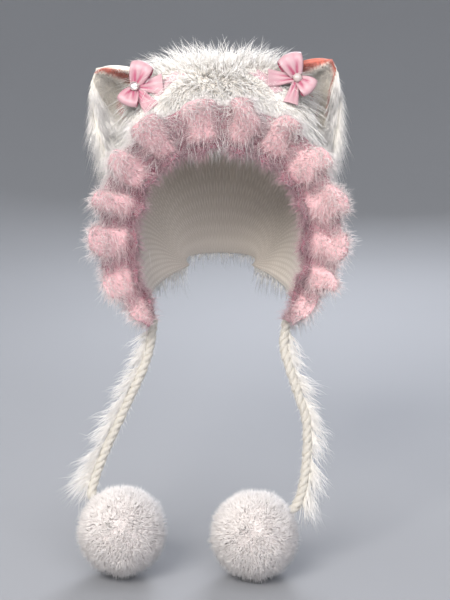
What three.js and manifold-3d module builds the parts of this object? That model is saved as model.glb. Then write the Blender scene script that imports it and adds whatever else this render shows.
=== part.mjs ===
import * as THREE from "three";
import { mergeVertices } from "three/addons/utils/BufferGeometryUtils.js";
import Module from "manifold-3d";

const wasm = await Module();
wasm.setup();

// A cat-eared bonnet in long white eyelash yarn, with a pink mohair ruffle round the face, satin bows at
// the ears and two twisted ties that end in pompoms. Millimetres, +Z up, the face looks along -Y.
// The origin is the inside of the crown, where the top of the head rests. Left and right are the viewer's.

// Hood
const HOOD_HALF_WIDTH = 112;
const HOOD_DEPTH = 205;
const HOOD_DROP = 300;
const KNIT_WALL = 3;
const PILE_BACKING = 1.6;
const PILE_LENGTH = 29;
const SEAM_GAP = 0.35;
const SEAT_SEARCH = 70;
const SEAT_STEP = 1;
const HOOD_COLUMNS = 32;
const HOOD_ROWS = 12;
const ARCH_SAMPLES = 60;

// Ruffle round the face
const RUFFLE_WIDTH = 48;
const RUFFLE_LIP = 7;
const RUFFLE_THICKNESS = 7;
const RUFFLE_FLARE = 20;
const RUFFLE_WAVE = 10;
const RUFFLE_SCALLOP = 5;
const RUFFLE_WAVES = 14;
const WAVE_DRIFT = 0.6;
const WAVE_VARIETY = 0.24;
const COLUMNS_PER_WAVE = 7;
const RUFFLE_ROWS = 4;

// Ears
const EAR_BACK = 2.4;
const EAR_LINING = 2.4;
const EAR_CUP = 16;
const EAR_TOP_BULGE = 9;
const EAR_SIDE_BULGE = 20;
const EAR_TIP_WIDTH = 18;
const EAR_PILE = 12;
const EAR_COLUMNS = 6;
const EAR_ROWS = 5;

// Bows and their stones
const RIBBON = 1;
const LOOP_STEPS = 9;
const TAIL_STEPS = 5;
const KNOT_WIDTH = 9;
const KNOT_DEPTH = 8;
const BOW_LEAN_DEG = 12;
const LOOP_OPEN = 0.21;
const TAIL_WAVE = 1.2;
const GEM_DIAMETER = 11;
const GEM_HEIGHT = 4;
const GEM_FACETS = 10;
const STREAMER_WIDTH = 18;
const STREAMER_NOTCH = 8;

// Ties and pompoms
const TIE_DIAMETER = 12;
const TIE_BACK = 0.03;
const TIE_SIDES = 8;
const TIE_STEPS = 24;
const FRINGE_WIDTH = 5;
const FRINGE_BACKING = 1.6;
const FRINGE_LENGTH = 30;
const FRINGE_TUFTS = 17;
const FRINGE_START = 0.1;
const FRINGE_END = 0.9;
const POMPOM_DIAMETER = 104;
const POMPOM_PILE = 9;
const POMPOM_DETAIL = 2;

// The distance that locks of fur keep from every other piece, and the lengths tried to keep it
const FUR_CLEARANCE = 5;
const LOCK_ROOT_RADIUS = 14;
const LOCK_TRIES = [1, 0.7, 0.45, 0.25];

// How much further the locks at the hem fall, past its edge, than the others
const HEM_FALL = 2.4;

// Arches of the hood from the face opening (at 0) to the nape (at 1). Back and down are shares of depth
// and drop, half widths are shares of the half width, widest is the height of the widest point.
const CROWN_BACK = 0.463;
const HOOD_ARCHES = table(
  ["at", "topBack", "topDown", "footBack", "footDown", "half", "footHalf", "widest", "square"],
  [0.0, 0.0, 0.315, 0.03, 1.0, 0.93, 0.7, 0.4, 2.3],
  [0.1, 0.04, 0.19, 0.12, 1.0, 0.97, 0.75, 0.43, 2.7],
  [0.22, 0.16, 0.075, 0.25, 0.99, 1.0, 0.79, 0.46, 3.3],
  [0.34, 0.315, 0.015, 0.37, 0.975, 1.0, 0.81, 0.48, 3.5],
  [0.44, CROWN_BACK, 0.0, 0.48, 0.96, 0.99, 0.81, 0.49, 3.2],
  [0.56, 0.65, 0.02, 0.62, 0.935, 0.96, 0.77, 0.48, 2.8],
  [0.68, 0.84, 0.12, 0.74, 0.91, 0.89, 0.68, 0.47, 2.5],
  [0.8, 0.965, 0.32, 0.83, 0.885, 0.77, 0.57, 0.46, 2.4],
  [0.9, 1.0, 0.56, 0.9, 0.87, 0.62, 0.47, 0.45, 2.3],
  [1.0, 0.965, 0.8, 0.955, 0.855, 0.42, 0.38, 0.45, 2.2],
);

// The ruffle from the middle of the forehead (at 0) to its end under the chin (at 1), as shares of its
// width and of its waves' depth
const RUFFLE_ARCH = table(
  ["at", "width", "wave"],
  [0.0, 1.0, 1.0],
  [0.3, 0.95, 1.0],
  [0.58, 0.85, 1.0],
  [0.74, 0.74, 0.85],
  [0.85, 0.52, 0.5],
  [0.93, 0.32, 0.3],
  [1.0, 0.16, 0.2],
);

// Ears. Base ends are shares along half an arch and from front to nape, and bend is how far the base
// bows back between them. Tips are in shares of the hood.
const EARS = table(
  ["name", "side", "inner", "outer", "innerBack", "outerBack", "bend", "tipOut", "tipBack", "tipDown"],
  ["left", -1, 0.2, 0.5, 0.27, 0.23, 0.08, 1.36, 0.22, 0.035],
  ["right", 1, 0.18, 0.5, 0.27, 0.23, 0.08, 1.24, 0.22, 0.0],
);

// Where each bow sits on its ear: across from the inner rim, and up from the hood
const BOW_PLACES = table(["side", "across", "up"], [-1, 0.3, 0.09], [1, 0.22, 0.1]);

// Ribbon pieces of each bow. Angles are seen from the front, anticlockwise from +X. A loop turns back to
// the knot and a tail doesn't; rise is how far its end stands off the bow's plane.
const BOWS = table(
  ["side", "kind", "angle", "length", "width", "rise"],
  [-1, "loop", 69, 32, 27, 4],
  [-1, "loop", 252, 28, 26, 6],
  [-1, "tail", 309, 35, 16, 9],
  [-1, "tail", 350, 30, 22, 5],
  [1, "loop", 112, 31, 30, 4],
  [1, "loop", 318, 27, 24, 6],
  [1, "tail", 255, 33, 14, 9],
  [1, "tail", 182, 34, 20, 5],
);

// The long ribbon ends that lie over the crown: shares along half an arch and from front to nape
const STREAMERS = table(
  ["side", "along", "alongEnd", "back", "backEnd"],
  [-1, 0.22, 0.12, 0.21, 0.3],
  [1, 0.2, 0.105, 0.21, 0.3],
);

// Chosen points of each tie, as offsets from where it leaves the hood's front corner
const TIES = [
  {
    name: "left",
    side: -1,
    route: [
      [0, 0, 0],
      [-1, 0, -12],
      [-4, -4, -34],
      [-13, -11, -62],
      [-29, -17, -96],
      [-43, -22, -126],
      [-57, -27, -156],
      [-67, -31, -182],
      [-72, -36, -199],
      [-72, -41, -209],
      [-64, -45, -217],
    ],
  },
  {
    name: "right",
    side: 1,
    route: [
      [0, 0, 0],
      [-2, 0, -14],
      [-4, -5, -33],
      [2, -12, -56],
      [14, -19, -92],
      [22, -24, -116],
      [24, -28, -141],
      [23, -32, -166],
      [20, -37, -190],
      [15, -41, -210],
      [8, -44, -223],
      [-4, -48, -230],
    ],
  },
];

// Rows of values under named columns
function table(columns, ...rows) {
  return rows.map((row) => Object.fromEntries(columns.map((name, i) => [name, row[i]])));
}

// The same value each time for the same number, from 0 to 1
function chance(seed) {
  const wave = Math.sin(seed * 127.1 + 311.7) * 43758.5453;
  return wave - Math.floor(wave);
}

// A table's column, smoothly interpolated at a share
function column(rows, name, at) {
  const last = rows.length - 1;
  let i = 0;
  while (i < last - 1 && at > rows[i + 1].at) i++;
  const slope = (k) => {
    const before = rows[Math.max(k - 1, 0)];
    const after = rows[Math.min(k + 1, last)];
    return (after[name] - before[name]) / (after.at - before.at);
  };
  const span = rows[i + 1].at - rows[i].at;
  const t = THREE.MathUtils.clamp((at - rows[i].at) / span, 0, 1);
  const rise = rows[i + 1][name] - rows[i][name];
  const bend = t * (1 - t) * ((1 - t) * (slope(i) * span - rise) - t * (slope(i + 1) * span - rise));
  return rows[i][name] + rise * t + bend;
}

// Closed bodies from grids

function facingOut(positions, triangles) {
  let volume = 0;
  const [a, b, c] = [new THREE.Vector3(), new THREE.Vector3(), new THREE.Vector3()];
  for (const [i, j, k] of triangles) {
    volume += a.copy(positions[i]).dot(b.copy(positions[j]).cross(c.copy(positions[k])));
  }
  const index = triangles.flatMap(([i, j, k]) => (volume < 0 ? [i, k, j] : [i, j, k]));
  return new THREE.BufferGeometry().setFromPoints(positions).setIndex(index);
}

// A sheet with thickness. face(s, t, side) gives its front (side 1) and back (side -1) at shares s and t.
// tuft(s, t) may give the tip of a lock of fur over the middle of a front cell.
function thickSheet(columns, rows, face, tuft = () => null) {
  const positions = [];
  const triangles = [];
  const at = (i, j, side) => ((side > 0 ? 0 : columns + 1) + i) * (rows + 1) + j;
  for (const side of [1, -1])
    for (let i = 0; i <= columns; i++)
      for (let j = 0; j <= rows; j++) positions.push(face(i / columns, j / rows, side));
  for (let i = 0; i < columns; i++)
    for (let j = 0; j < rows; j++) {
      const corners = [at(i, j, 1), at(i + 1, j, 1), at(i + 1, j + 1, 1), at(i, j + 1, 1)];
      const tip = tuft((i + 0.5) / columns, (j + 0.5) / rows);
      if (tip) {
        positions.push(tip);
        corners.forEach((c, k) => triangles.push([c, corners[(k + 1) % 4], positions.length - 1]));
      } else {
        triangles.push([corners[0], corners[1], corners[2]], [corners[0], corners[2], corners[3]]);
      }
      const behind = [at(i, j, -1), at(i + 1, j, -1), at(i + 1, j + 1, -1), at(i, j + 1, -1)];
      triangles.push([behind[0], behind[2], behind[1]], [behind[0], behind[3], behind[2]]);
    }
  const rim = [];
  for (let i = 0; i < columns; i++) rim.push([i, 0]);
  for (let j = 0; j < rows; j++) rim.push([columns, j]);
  for (let i = columns; i > 0; i--) rim.push([i, rows]);
  for (let j = rows; j > 0; j--) rim.push([0, j]);
  rim.forEach(([i, j], k) => {
    const [m, n] = rim[(k + 1) % rim.length];
    triangles.push([at(i, j, 1), at(i, j, -1), at(m, n, -1)], [at(i, j, 1), at(m, n, -1), at(m, n, 1)]);
  });
  return facingOut(positions, triangles);
}

// The unit normal of a surface given as surface(s, t), by small differences kept inside the sheet
function normalOf(surface, s, t) {
  const step = 0.004;
  const [s0, s1] = [Math.max(s - step, 0), Math.min(s + step, 1)];
  const [t0, t1] = [Math.max(t - step, 0), Math.min(t + step, 1)];
  const across = surface(s1, t).sub(surface(s0, t));
  const along = surface(s, t1).sub(surface(s, t0));
  return across.cross(along).normalize();
}

// The mesh with only its corners left, shared between its triangles
function bareMesh(geometry) {
  const bare = geometry.clone();
  bare.deleteAttribute("normal");
  bare.deleteAttribute("uv");
  return mergeVertices(bare, 1e-3);
}

function solidOf(geometry) {
  const merged = bareMesh(geometry);
  return new wasm.Manifold(
    new wasm.Mesh({
      numProp: 3,
      vertProperties: merged.attributes.position.array,
      triVerts: new Uint32Array(merged.index.array),
    }),
  );
}

function geometryOf(solid) {
  const mesh = solid.getMesh();
  return new THREE.BufferGeometry()
    .setAttribute("position", new THREE.BufferAttribute(mesh.vertProperties, 3))
    .setIndex(new THREE.BufferAttribute(mesh.triVerts, 1));
}

function fused(geometries) {
  return geometryOf(geometries.map(solidOf).reduce((whole, piece) => whole.add(piece)));
}

function cut(geometry, cutter) {
  return geometryOf(solidOf(geometry).subtract(solidOf(cutter)));
}

// How far a body moves along away, or back against it, to lie a seam's gap clear of what is behind it
function standOff(geometry, away, behind) {
  const others = behind.map(solidOf);
  const meets = (offset) => {
    const moved = solidOf(geometry.clone().translate(...away.clone().multiplyScalar(offset)));
    return others.some((other) => other.intersect(moved).volume() > 0);
  };
  let clear = SEAT_SEARCH;
  for (let step = SEAT_STEP; step > SEAM_GAP / 10; step /= 4) {
    while (clear > -SEAT_SEARCH && !meets(clear - step)) clear -= step;
  }
  return clear + SEAM_GAP;
}

function seated(geometry, away, behind) {
  return geometry.translate(...away.clone().multiplyScalar(standOff(geometry, away, behind)));
}

// Hood

const halfArches = new Map();

// Half of one arch, from its top down to its foot, as places evenly spaced by length: x out, h up
function halfArch(back) {
  if (halfArches.has(back)) return halfArches.get(back);
  const value = (name) => column(HOOD_ARCHES, name, back);
  const place = (backShare, downShare) =>
    new THREE.Vector2((backShare - CROWN_BACK) * HOOD_DEPTH, -downShare * HOOD_DROP);
  const top = place(value("topBack"), value("topDown"));
  const foot = place(value("footBack"), value("footDown"));
  const half = value("half") * HOOD_HALF_WIDTH;
  const footHalf = value("footHalf") * HOOD_HALF_WIDTH;
  const height = top.distanceTo(foot);
  const widest = value("widest") * height;
  const square = value("square");
  const points = [];
  for (let i = 0; i <= ARCH_SAMPLES; i++) {
    const turn = ((i / ARCH_SAMPLES) * Math.PI) / 2;
    const reach = (Math.sin(turn) ** square + Math.cos(turn) ** square) ** (-1 / square);
    points.push([half * reach * Math.sin(turn), widest + (height - widest) * reach * Math.cos(turn)]);
  }
  for (let i = 1; i <= ARCH_SAMPLES / 2; i++) {
    const down = i / (ARCH_SAMPLES / 2);
    points.push([half - (half - footHalf) * (1 - Math.cos((down * Math.PI) / 2)), widest * (1 - down)]);
  }
  const lengths = [0];
  for (let i = 1; i < points.length; i++) {
    const [dx, dh] = [points[i][0] - points[i - 1][0], points[i][1] - points[i - 1][1]];
    lengths.push(lengths[i - 1] + Math.hypot(dx, dh));
  }
  const arch = { top, foot, height, points, lengths };
  halfArches.set(back, arch);
  return arch;
}

// A place on the hood's inner face: across runs from the left foot (0) over the top to the right foot (1)
function hoodInner(across, back) {
  const { top, foot, height, points, lengths } = halfArch(back);
  const along = Math.abs(2 * across - 1) * lengths.at(-1);
  let i = 0;
  while (i < lengths.length - 2 && along > lengths[i + 1]) i++;
  const t = (along - lengths[i]) / (lengths[i + 1] - lengths[i]);
  const out = points[i][0] + (points[i + 1][0] - points[i][0]) * t;
  const up = (points[i][1] + (points[i + 1][1] - points[i][1]) * t) / height;
  return new THREE.Vector3(
    Math.sign(2 * across - 1) * out,
    foot.x + (top.x - foot.x) * up,
    foot.y + (top.y - foot.y) * up,
  );
}

const FRONT_PLANE = -CROWN_BACK * HOOD_DEPTH;

// A place at a height over the hood's inner face, kept behind the plane that the ruffle is sewn to
function hoodPoint(across, back, height) {
  const place = hoodInner(across, back).addScaledVector(hoodNormal(across, back), height);
  place.y = Math.max(place.y, FRONT_PLANE);
  return place;
}

function hoodNormal(across, back) {
  return normalOf(hoodInner, across, back);
}

const PILE_ROOT = KNIT_WALL + SEAM_GAP;
const PILE_TOP = PILE_ROOT + PILE_BACKING;

// A layer of the hood between two heights over its inner face
function hoodSheet(from, to, tuft) {
  return thickSheet(HOOD_COLUMNS, HOOD_ROWS, (s, t, side) => hoodPoint(s, t, side > 0 ? to : from), tuft);
}

// The long pile: a root layer over the knit, with a combed lock over each cell that has room for one.
// Locks at the hem fall past it.
function crownFur(near) {
  const tuft = (s, t) => {
    const seed = s * 91 + t * 53;
    const root = hoodPoint(s, t, PILE_TOP);
    const normal = hoodNormal(s, t);
    const comb = new THREE.Vector3(chance(seed) - 0.5, chance(seed + 1) - 0.4, -0.7);
    comb.addScaledVector(normal, -comb.dot(normal));
    const length = PILE_LENGTH * (0.7 + 0.5 * chance(seed + 2));
    const atHem = Math.min(s, 1 - s) < 1 / HOOD_COLUMNS || t > 1 - 1 / HOOD_ROWS;
    if (atHem) comb.multiplyScalar(HEM_FALL);
    const tips = LOCK_TRIES.map((share) =>
      root
        .clone()
        .addScaledVector(normal, share * length * 0.8)
        .addScaledVector(comb, share * length * 0.7),
    );
    return tips.find((tip) => tip.y > FRONT_PLANE + FUR_CLEARANCE && !reaches(near, root, tip)) ?? null;
  };
  return hoodSheet(PILE_ROOT, PILE_TOP, tuft);
}

// True where a lock from root to tip would come within the fur's clearance of any of the places
function reaches(places, root, tip) {
  const lock = new THREE.Line3(root, tip);
  const nearest = new THREE.Vector3();
  return places.some((p) => {
    const along = lock.closestPointToPointParameter(p, true);
    const rootSpread = (1 - along) * LOCK_ROOT_RADIUS;
    return lock.at(along, nearest).distanceTo(p) < FUR_CLEARANCE + rootSpread;
  });
}

// Corners and triangle centres of a mesh
function placesOn(geometry) {
  const bare = bareMesh(geometry);
  const position = bare.attributes.position;
  const corners = [];
  for (let i = 0; i < position.count; i++) {
    corners.push(new THREE.Vector3().fromBufferAttribute(position, i));
  }
  const places = [...corners];
  const index = bare.index.array;
  for (let i = 0; i < index.length; i += 3) {
    const [a, b, c] = [corners[index[i]], corners[index[i + 1]], corners[index[i + 2]]];
    places.push(a.clone().add(b).add(c).divideScalar(3));
  }
  return places;
}

// Ruffle

// The middle surface: s from the left end over the forehead to the right end, t from lip to free edge
function ruffleMiddle(s, t) {
  const fromTop = Math.abs(2 * s - 1);
  const width = RUFFLE_WIDTH * column(RUFFLE_ARCH, "width", fromTop);
  const lip = RUFFLE_LIP * Math.min(1, width / (0.5 * RUFFLE_WIDTH));
  const across = -lip + t * (lip + width);
  const out = across / width;
  const phase = 2 * Math.PI * RUFFLE_WAVES * (s - 0.5) - Math.PI / 2 + WAVE_DRIFT * Math.sin(21 * s);
  const swell = column(RUFFLE_ARCH, "wave", fromTop) * (1 + WAVE_VARIETY * Math.sin(37 * s));
  const depth = RUFFLE_WAVE * swell * (0.3 + 0.7 * Math.min(Math.abs(out) * (out < 0 ? 4 : 1), 1));
  const seam = hoodInner(s, 0);
  const tangent = hoodInner(Math.min(s + 0.004, 1), 0).sub(hoodInner(Math.max(s - 0.004, 0), 0));
  tangent.y = 0;
  tangent.normalize();
  const outward = new THREE.Vector3(-tangent.z, 0, tangent.x);
  const curl = out < 0 ? lip * out * out : RUFFLE_FLARE * out ** 1.4;
  const radial = KNIT_WALL / 2 + across + RUFFLE_SCALLOP * out * Math.sin(phase) * swell;
  const roll = -0.35 * depth * Math.sin(2 * phase);
  return new THREE.Vector3(seam.x, FRONT_PLANE, seam.z)
    .addScaledVector(outward, radial)
    .addScaledVector(tangent, roll)
    .add(new THREE.Vector3(0, -(curl + depth * (1 + Math.sin(phase))), 0));
}

// The frill, sewn on against the hood's front edge
function ruffle(behind) {
  const frill = thickSheet(RUFFLE_WAVES * COLUMNS_PER_WAVE, RUFFLE_ROWS, (s, t, side) =>
    ruffleMiddle(s, t).addScaledVector(normalOf(ruffleMiddle, s, t), (side * RUFFLE_THICKNESS) / 2),
  );
  return seated(frill, new THREE.Vector3(0, -1, 0), behind);
}

// Ears

// A place on the line where an ear leaves the hood, from its inner end (0) to its outer end (1)
function earFoot(ear, p) {
  const along = THREE.MathUtils.lerp(ear.inner, ear.outer, p);
  const back = THREE.MathUtils.lerp(ear.innerBack, ear.outerBack, p) + ear.bend * Math.sin(Math.PI * p);
  return hoodPoint((1 + ear.side * along) / 2, back, KNIT_WALL);
}

// A place on the middle of an ear: p from its inner rim to its outer rim, q from the hood to the tip
function earMiddle(ear, p, q) {
  const base = earFoot(ear, p);
  const rimward = earFoot(ear, 1).sub(earFoot(ear, 0)).normalize();
  const tip = new THREE.Vector3(
    ear.side * ear.tipOut * HOOD_HALF_WIDTH,
    (ear.tipBack - CROWN_BACK) * HOOD_DEPTH,
    -ear.tipDown * HOOD_DROP,
  ).addScaledVector(rimward, (p - 0.5) * EAR_TIP_WIDTH);
  const bulge = (2 * p - 1) * (p < 0.5 ? EAR_TOP_BULGE : EAR_SIDE_BULGE) * Math.sin(Math.PI * q) ** 0.8;
  const hollow = EAR_CUP * Math.sin(Math.PI * p) * Math.sin(Math.PI * Math.min(q + 0.08, 1));
  return base.lerp(tip, q).addScaledVector(rimward, bulge).add(new THREE.Vector3(0, hollow, 0));
}

// The ear's front faces -Y, whichever side it is on
function earFront(ear, p, q) {
  const normal = normalOf((a, b) => earMiddle(ear, a, b), p, q);
  return normal.multiplyScalar(normal.y > 0 ? -1 : 1);
}

// One layer of an ear, cut off where it meets the pile's root layer
function earLayer(ear, from, to, tuft) {
  const face = (p, q, side) =>
    earMiddle(ear, p, q).addScaledVector(earFront(ear, p, q), side > 0 ? to : from);
  return cut(thickSheet(EAR_COLUMNS, EAR_ROWS, face, tuft), hoodSheet(-4 * KNIT_WALL, PILE_TOP + SEAM_GAP));
}

function earBack(ear) {
  const tuft = (p, q) => {
    const front = earFront(ear, p, q);
    const tip = earMiddle(ear, p, q).addScaledVector(front, -SEAM_GAP - EAR_BACK - EAR_PILE);
    return q < 0.25 ? null : tip.add(new THREE.Vector3(0, 0, -0.4 * EAR_PILE));
  };
  return earLayer(ear, -SEAM_GAP / 2, -SEAM_GAP / 2 - EAR_BACK, tuft);
}

function earLining(ear) {
  return earLayer(ear, SEAM_GAP / 2, SEAM_GAP / 2 + EAR_LINING);
}

// Bows

// A bow's plane, at its place on the middle of its ear: out is its front
function bowFrame(ear) {
  const place = BOW_PLACES.find((row) => row.side === ear.side);
  const lean = THREE.MathUtils.degToRad(BOW_LEAN_DEG);
  const out = new THREE.Vector3(0, -Math.cos(lean), Math.sin(lean));
  const right = new THREE.Vector3(1, 0, 0);
  const up = new THREE.Vector3().crossVectors(right, out).negate();
  return { out, right, up, centre: earMiddle(ear, place.across, place.up) };
}

// One ribbon from the knot: path(s) gives how far out and how far off the bow's plane it lies
function ribbonPiece(frame, piece, steps, path, widthAt) {
  const angle = THREE.MathUtils.degToRad(piece.angle);
  const ahead = frame.right.clone().multiplyScalar(Math.cos(angle));
  ahead.addScaledVector(frame.up, Math.sin(angle));
  const sideways = new THREE.Vector3().crossVectors(ahead, frame.out);
  const middle = (s, t) => {
    const [far, off] = path(s);
    return frame.centre
      .clone()
      .addScaledVector(ahead, far)
      .addScaledVector(frame.out, off - piece.rise * 0.25 * (2 * t - 1) ** 2 * (far / piece.length))
      .addScaledVector(sideways, (t - 0.5) * widthAt(s));
  };
  return thickSheet(steps, 3, (s, t, side) =>
    middle(s, t).addScaledVector(normalOf(middle, s, t), (side * RIBBON) / 2),
  );
}

function bowLoop(frame, piece) {
  const path = (s) => {
    const turn = Math.PI * (2 * s - 1);
    const share = (1 + Math.cos(turn)) / 2;
    const openness = -LOOP_OPEN * piece.width * Math.sin(turn) * Math.sqrt(share);
    return [piece.length * share, openness + piece.rise * share];
  };
  const widthAt = (s) => {
    const far = (1 + Math.cos(Math.PI * (2 * s - 1))) / 2;
    return KNOT_WIDTH * 0.8 + (piece.width - KNOT_WIDTH * 0.8) * far ** 0.7;
  };
  const kept = (s) => 0.09 + 0.82 * s;
  return ribbonPiece(frame, piece, LOOP_STEPS, (s) => path(kept(s)), (s) => widthAt(kept(s)));
}

function bowTail(frame, piece) {
  const path = (s) => [
    piece.length * (0.02 + 0.98 * s),
    piece.rise * s ** 1.5 + TAIL_WAVE * Math.sin(Math.PI * 2 * s),
  ];
  const widthAt = (s) => KNOT_WIDTH * 0.7 + (piece.width - KNOT_WIDTH * 0.7) * s ** 0.8;
  return ribbonPiece(frame, piece, TAIL_STEPS, path, widthAt);
}

function knot(frame) {
  const ball = new THREE.SphereGeometry(0.5, 8, 6);
  ball.scale(KNOT_WIDTH, KNOT_WIDTH, KNOT_DEPTH);
  const turn = new THREE.Matrix4().makeBasis(frame.right, frame.up, frame.out).setPosition(frame.centre);
  return ball.applyMatrix4(turn);
}

function bow(ear, frame) {
  const pieces = BOWS.filter((piece) => piece.side === ear.side);
  return fused([
    knot(frame),
    ...pieces.map((piece) => (piece.kind === "loop" ? bowLoop(frame, piece) : bowTail(frame, piece))),
  ]);
}

// A cut stone with a flat table and a ring of facets, over the knot
function bowGem(frame) {
  const radius = GEM_DIAMETER / 2;
  const profile = [
    [0, 0],
    [radius * 0.8, 0],
    [radius, GEM_HEIGHT * 0.35],
    [radius * 0.55, GEM_HEIGHT],
    [0, GEM_HEIGHT],
  ].map(([x, y]) => new THREE.Vector2(x, y));
  const seat = frame.centre.clone().addScaledVector(frame.out, KNOT_DEPTH / 2 + SEAM_GAP);
  const turn = new THREE.Matrix4().makeBasis(frame.right, frame.out, frame.up.clone().negate());
  turn.setPosition(seat);
  return new THREE.LatheGeometry(profile, GEM_FACETS).applyMatrix4(turn);
}

// The ribbon end that lies over the crown's pile from beside the bow
function streamer(ear, behind) {
  const lie = STREAMERS.find((row) => row.side === ear.side);
  const onHood = (s) => {
    const across = (1 + ear.side * THREE.MathUtils.lerp(lie.along, lie.alongEnd, s)) / 2;
    const back = THREE.MathUtils.lerp(lie.back, lie.backEnd, s);
    return { place: hoodPoint(across, back, PILE_TOP), normal: hoodNormal(across, back) };
  };
  const middle = (s, t) => {
    const inset = STREAMER_NOTCH * s * (1 - Math.abs(2 * t - 1));
    const { place, normal } = onHood(s);
    const ahead = onHood(s + 0.01).place.sub(onHood(s - 0.01).place).normalize();
    const sideways = new THREE.Vector3().crossVectors(normal, ahead).normalize();
    const width = STREAMER_WIDTH * (0.7 + 0.3 * s);
    const ripple = Math.sin(Math.PI * s) * Math.sin(Math.PI * t);
    return place
      .addScaledVector(sideways, (t - 0.5) * width)
      .addScaledVector(ahead, -inset)
      .addScaledVector(normal, ripple + width * width * Math.abs(t - 0.5) ** 3 * 0.004);
  };
  const ribbon = thickSheet(8, 2, (s, t, side) =>
    middle(s, t).addScaledVector(normalOf(middle, s, t), (side * RIBBON) / 2),
  );
  return seated(ribbon, onHood(0.5).normal, behind);
}

// Ties, fringes and pompoms

function tieCurve(tie) {
  const corner = hoodPoint(tie.side < 0 ? 0 : 1, TIE_BACK, KNIT_WALL / 2);
  corner.z = hoodPoint(0, 0, PILE_TOP).z - SEAM_GAP;
  return new THREE.CatmullRomCurve3(tie.route.map((p) => new THREE.Vector3(...p).add(corner)));
}

function tieCord(tie) {
  const section = new THREE.Shape();
  for (let i = 0; i < TIE_SIDES; i++) {
    const turn = (2 * Math.PI * i) / TIE_SIDES;
    const corner = [(TIE_DIAMETER / 2) * Math.cos(turn), (TIE_DIAMETER / 2) * Math.sin(turn)];
    if (i) section.lineTo(...corner);
    else section.moveTo(...corner);
  }
  return new THREE.ExtrudeGeometry(section, { steps: TIE_STEPS, extrudePath: tieCurve(tie) });
}

// Long eyelash strands down the tie's outer side, as tufts on a thin strip that follows it
function tieFringe(tie) {
  const curve = tieCurve(tie);
  const outward = (share) => {
    const along = curve.getTangent(share);
    const out = new THREE.Vector3(tie.side, 0, 0);
    return out.addScaledVector(along, -out.dot(along)).normalize();
  };
  const face = (s, t, side) => {
    const share = THREE.MathUtils.lerp(FRINGE_START, FRINGE_END, s);
    const out = outward(share);
    const across = new THREE.Vector3().crossVectors(curve.getTangent(share), out);
    const far = TIE_DIAMETER / 2 + SEAM_GAP + (side > 0 ? FRINGE_BACKING : 0);
    const place = curve.getPoint(share).addScaledVector(out, far);
    return place.addScaledVector(across, (t - 0.5) * FRINGE_WIDTH);
  };
  const tuft = (s) => {
    const share = THREE.MathUtils.lerp(FRINGE_START, FRINGE_END, s);
    const length = FRINGE_LENGTH * (0.75 + 0.3 * s) * (0.8 + 0.4 * chance(s * 71));
    const sway = new THREE.Vector3(0, 0.3 * (chance(s * 33) - 0.5), 0);
    const lean = curve.getTangent(share).multiplyScalar(0.75).add(sway);
    return curve
      .getPoint(share)
      .addScaledVector(outward(share), TIE_DIAMETER / 2 + 0.7 * length)
      .addScaledVector(lean, length);
  };
  return thickSheet(FRINGE_TUFTS, 1, face, tuft);
}

function pompomCentre(tie) {
  const curve = tieCurve(tie);
  const fromEnd = POMPOM_DIAMETER / 2 - POMPOM_PILE + SEAM_GAP;
  return curve.getPoint(1).addScaledVector(curve.getTangent(1), fromEnd);
}

// A ball of pile: every face of its core carries a lock, apart from those where the tie goes in
function pompom(tie) {
  const radius = POMPOM_DIAMETER / 2 - POMPOM_PILE;
  const core = bareMesh(new THREE.IcosahedronGeometry(radius, POMPOM_DETAIL));
  const positions = placesOn(core);
  const corners = core.attributes.position.count;
  const tieWay = tieCurve(tie).getTangent(1).negate();
  const triangles = [];
  for (let face = 0; face * 3 < core.index.count; face++) {
    const [a, b, c] = [0, 1, 2].map((k) => core.index.array[face * 3 + k]);
    const tip = positions[corners + face];
    if (tip.angleTo(tieWay) > 0.5) tip.setLength(radius + POMPOM_PILE * (0.75 + 0.25 * chance(face)));
    triangles.push([a, b, corners + face], [b, c, corners + face], [c, a, corners + face]);
  }
  const centre = pompomCentre(tie);
  return facingOut(positions, triangles).translate(centre.x, centre.y, centre.z);
}

// Finishes and the whole object

const WHITE_YARN = new THREE.MeshStandardMaterial({ color: 0xeeebe3, roughness: 0.95, metalness: 0 });
const PINK_MOHAIR = new THREE.MeshStandardMaterial({ color: 0xdba6ab, roughness: 0.97, metalness: 0 });
const CREAM_PLUSH = new THREE.MeshStandardMaterial({ color: 0xe2dace, roughness: 0.9, metalness: 0 });
const PINK_SATIN = new THREE.MeshStandardMaterial({ color: 0xe7adc0, roughness: 0.35, metalness: 0 });
const PALE_SATIN = new THREE.MeshStandardMaterial({ color: 0xe9d0d6, roughness: 0.45, metalness: 0 });
const CRYSTAL = new THREE.MeshStandardMaterial({ color: 0xe9e4dc, roughness: 0.12, metalness: 0 });
const POMPOM_FUR = new THREE.MeshStandardMaterial({ color: 0xece8e8, roughness: 0.95, metalness: 0 });

const hood = new THREE.Group();

function add(name, geometry, material) {
  const mesh = new THREE.Mesh(geometry, material);
  mesh.name = name;
  hood.add(mesh);
  return geometry;
}

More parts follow.
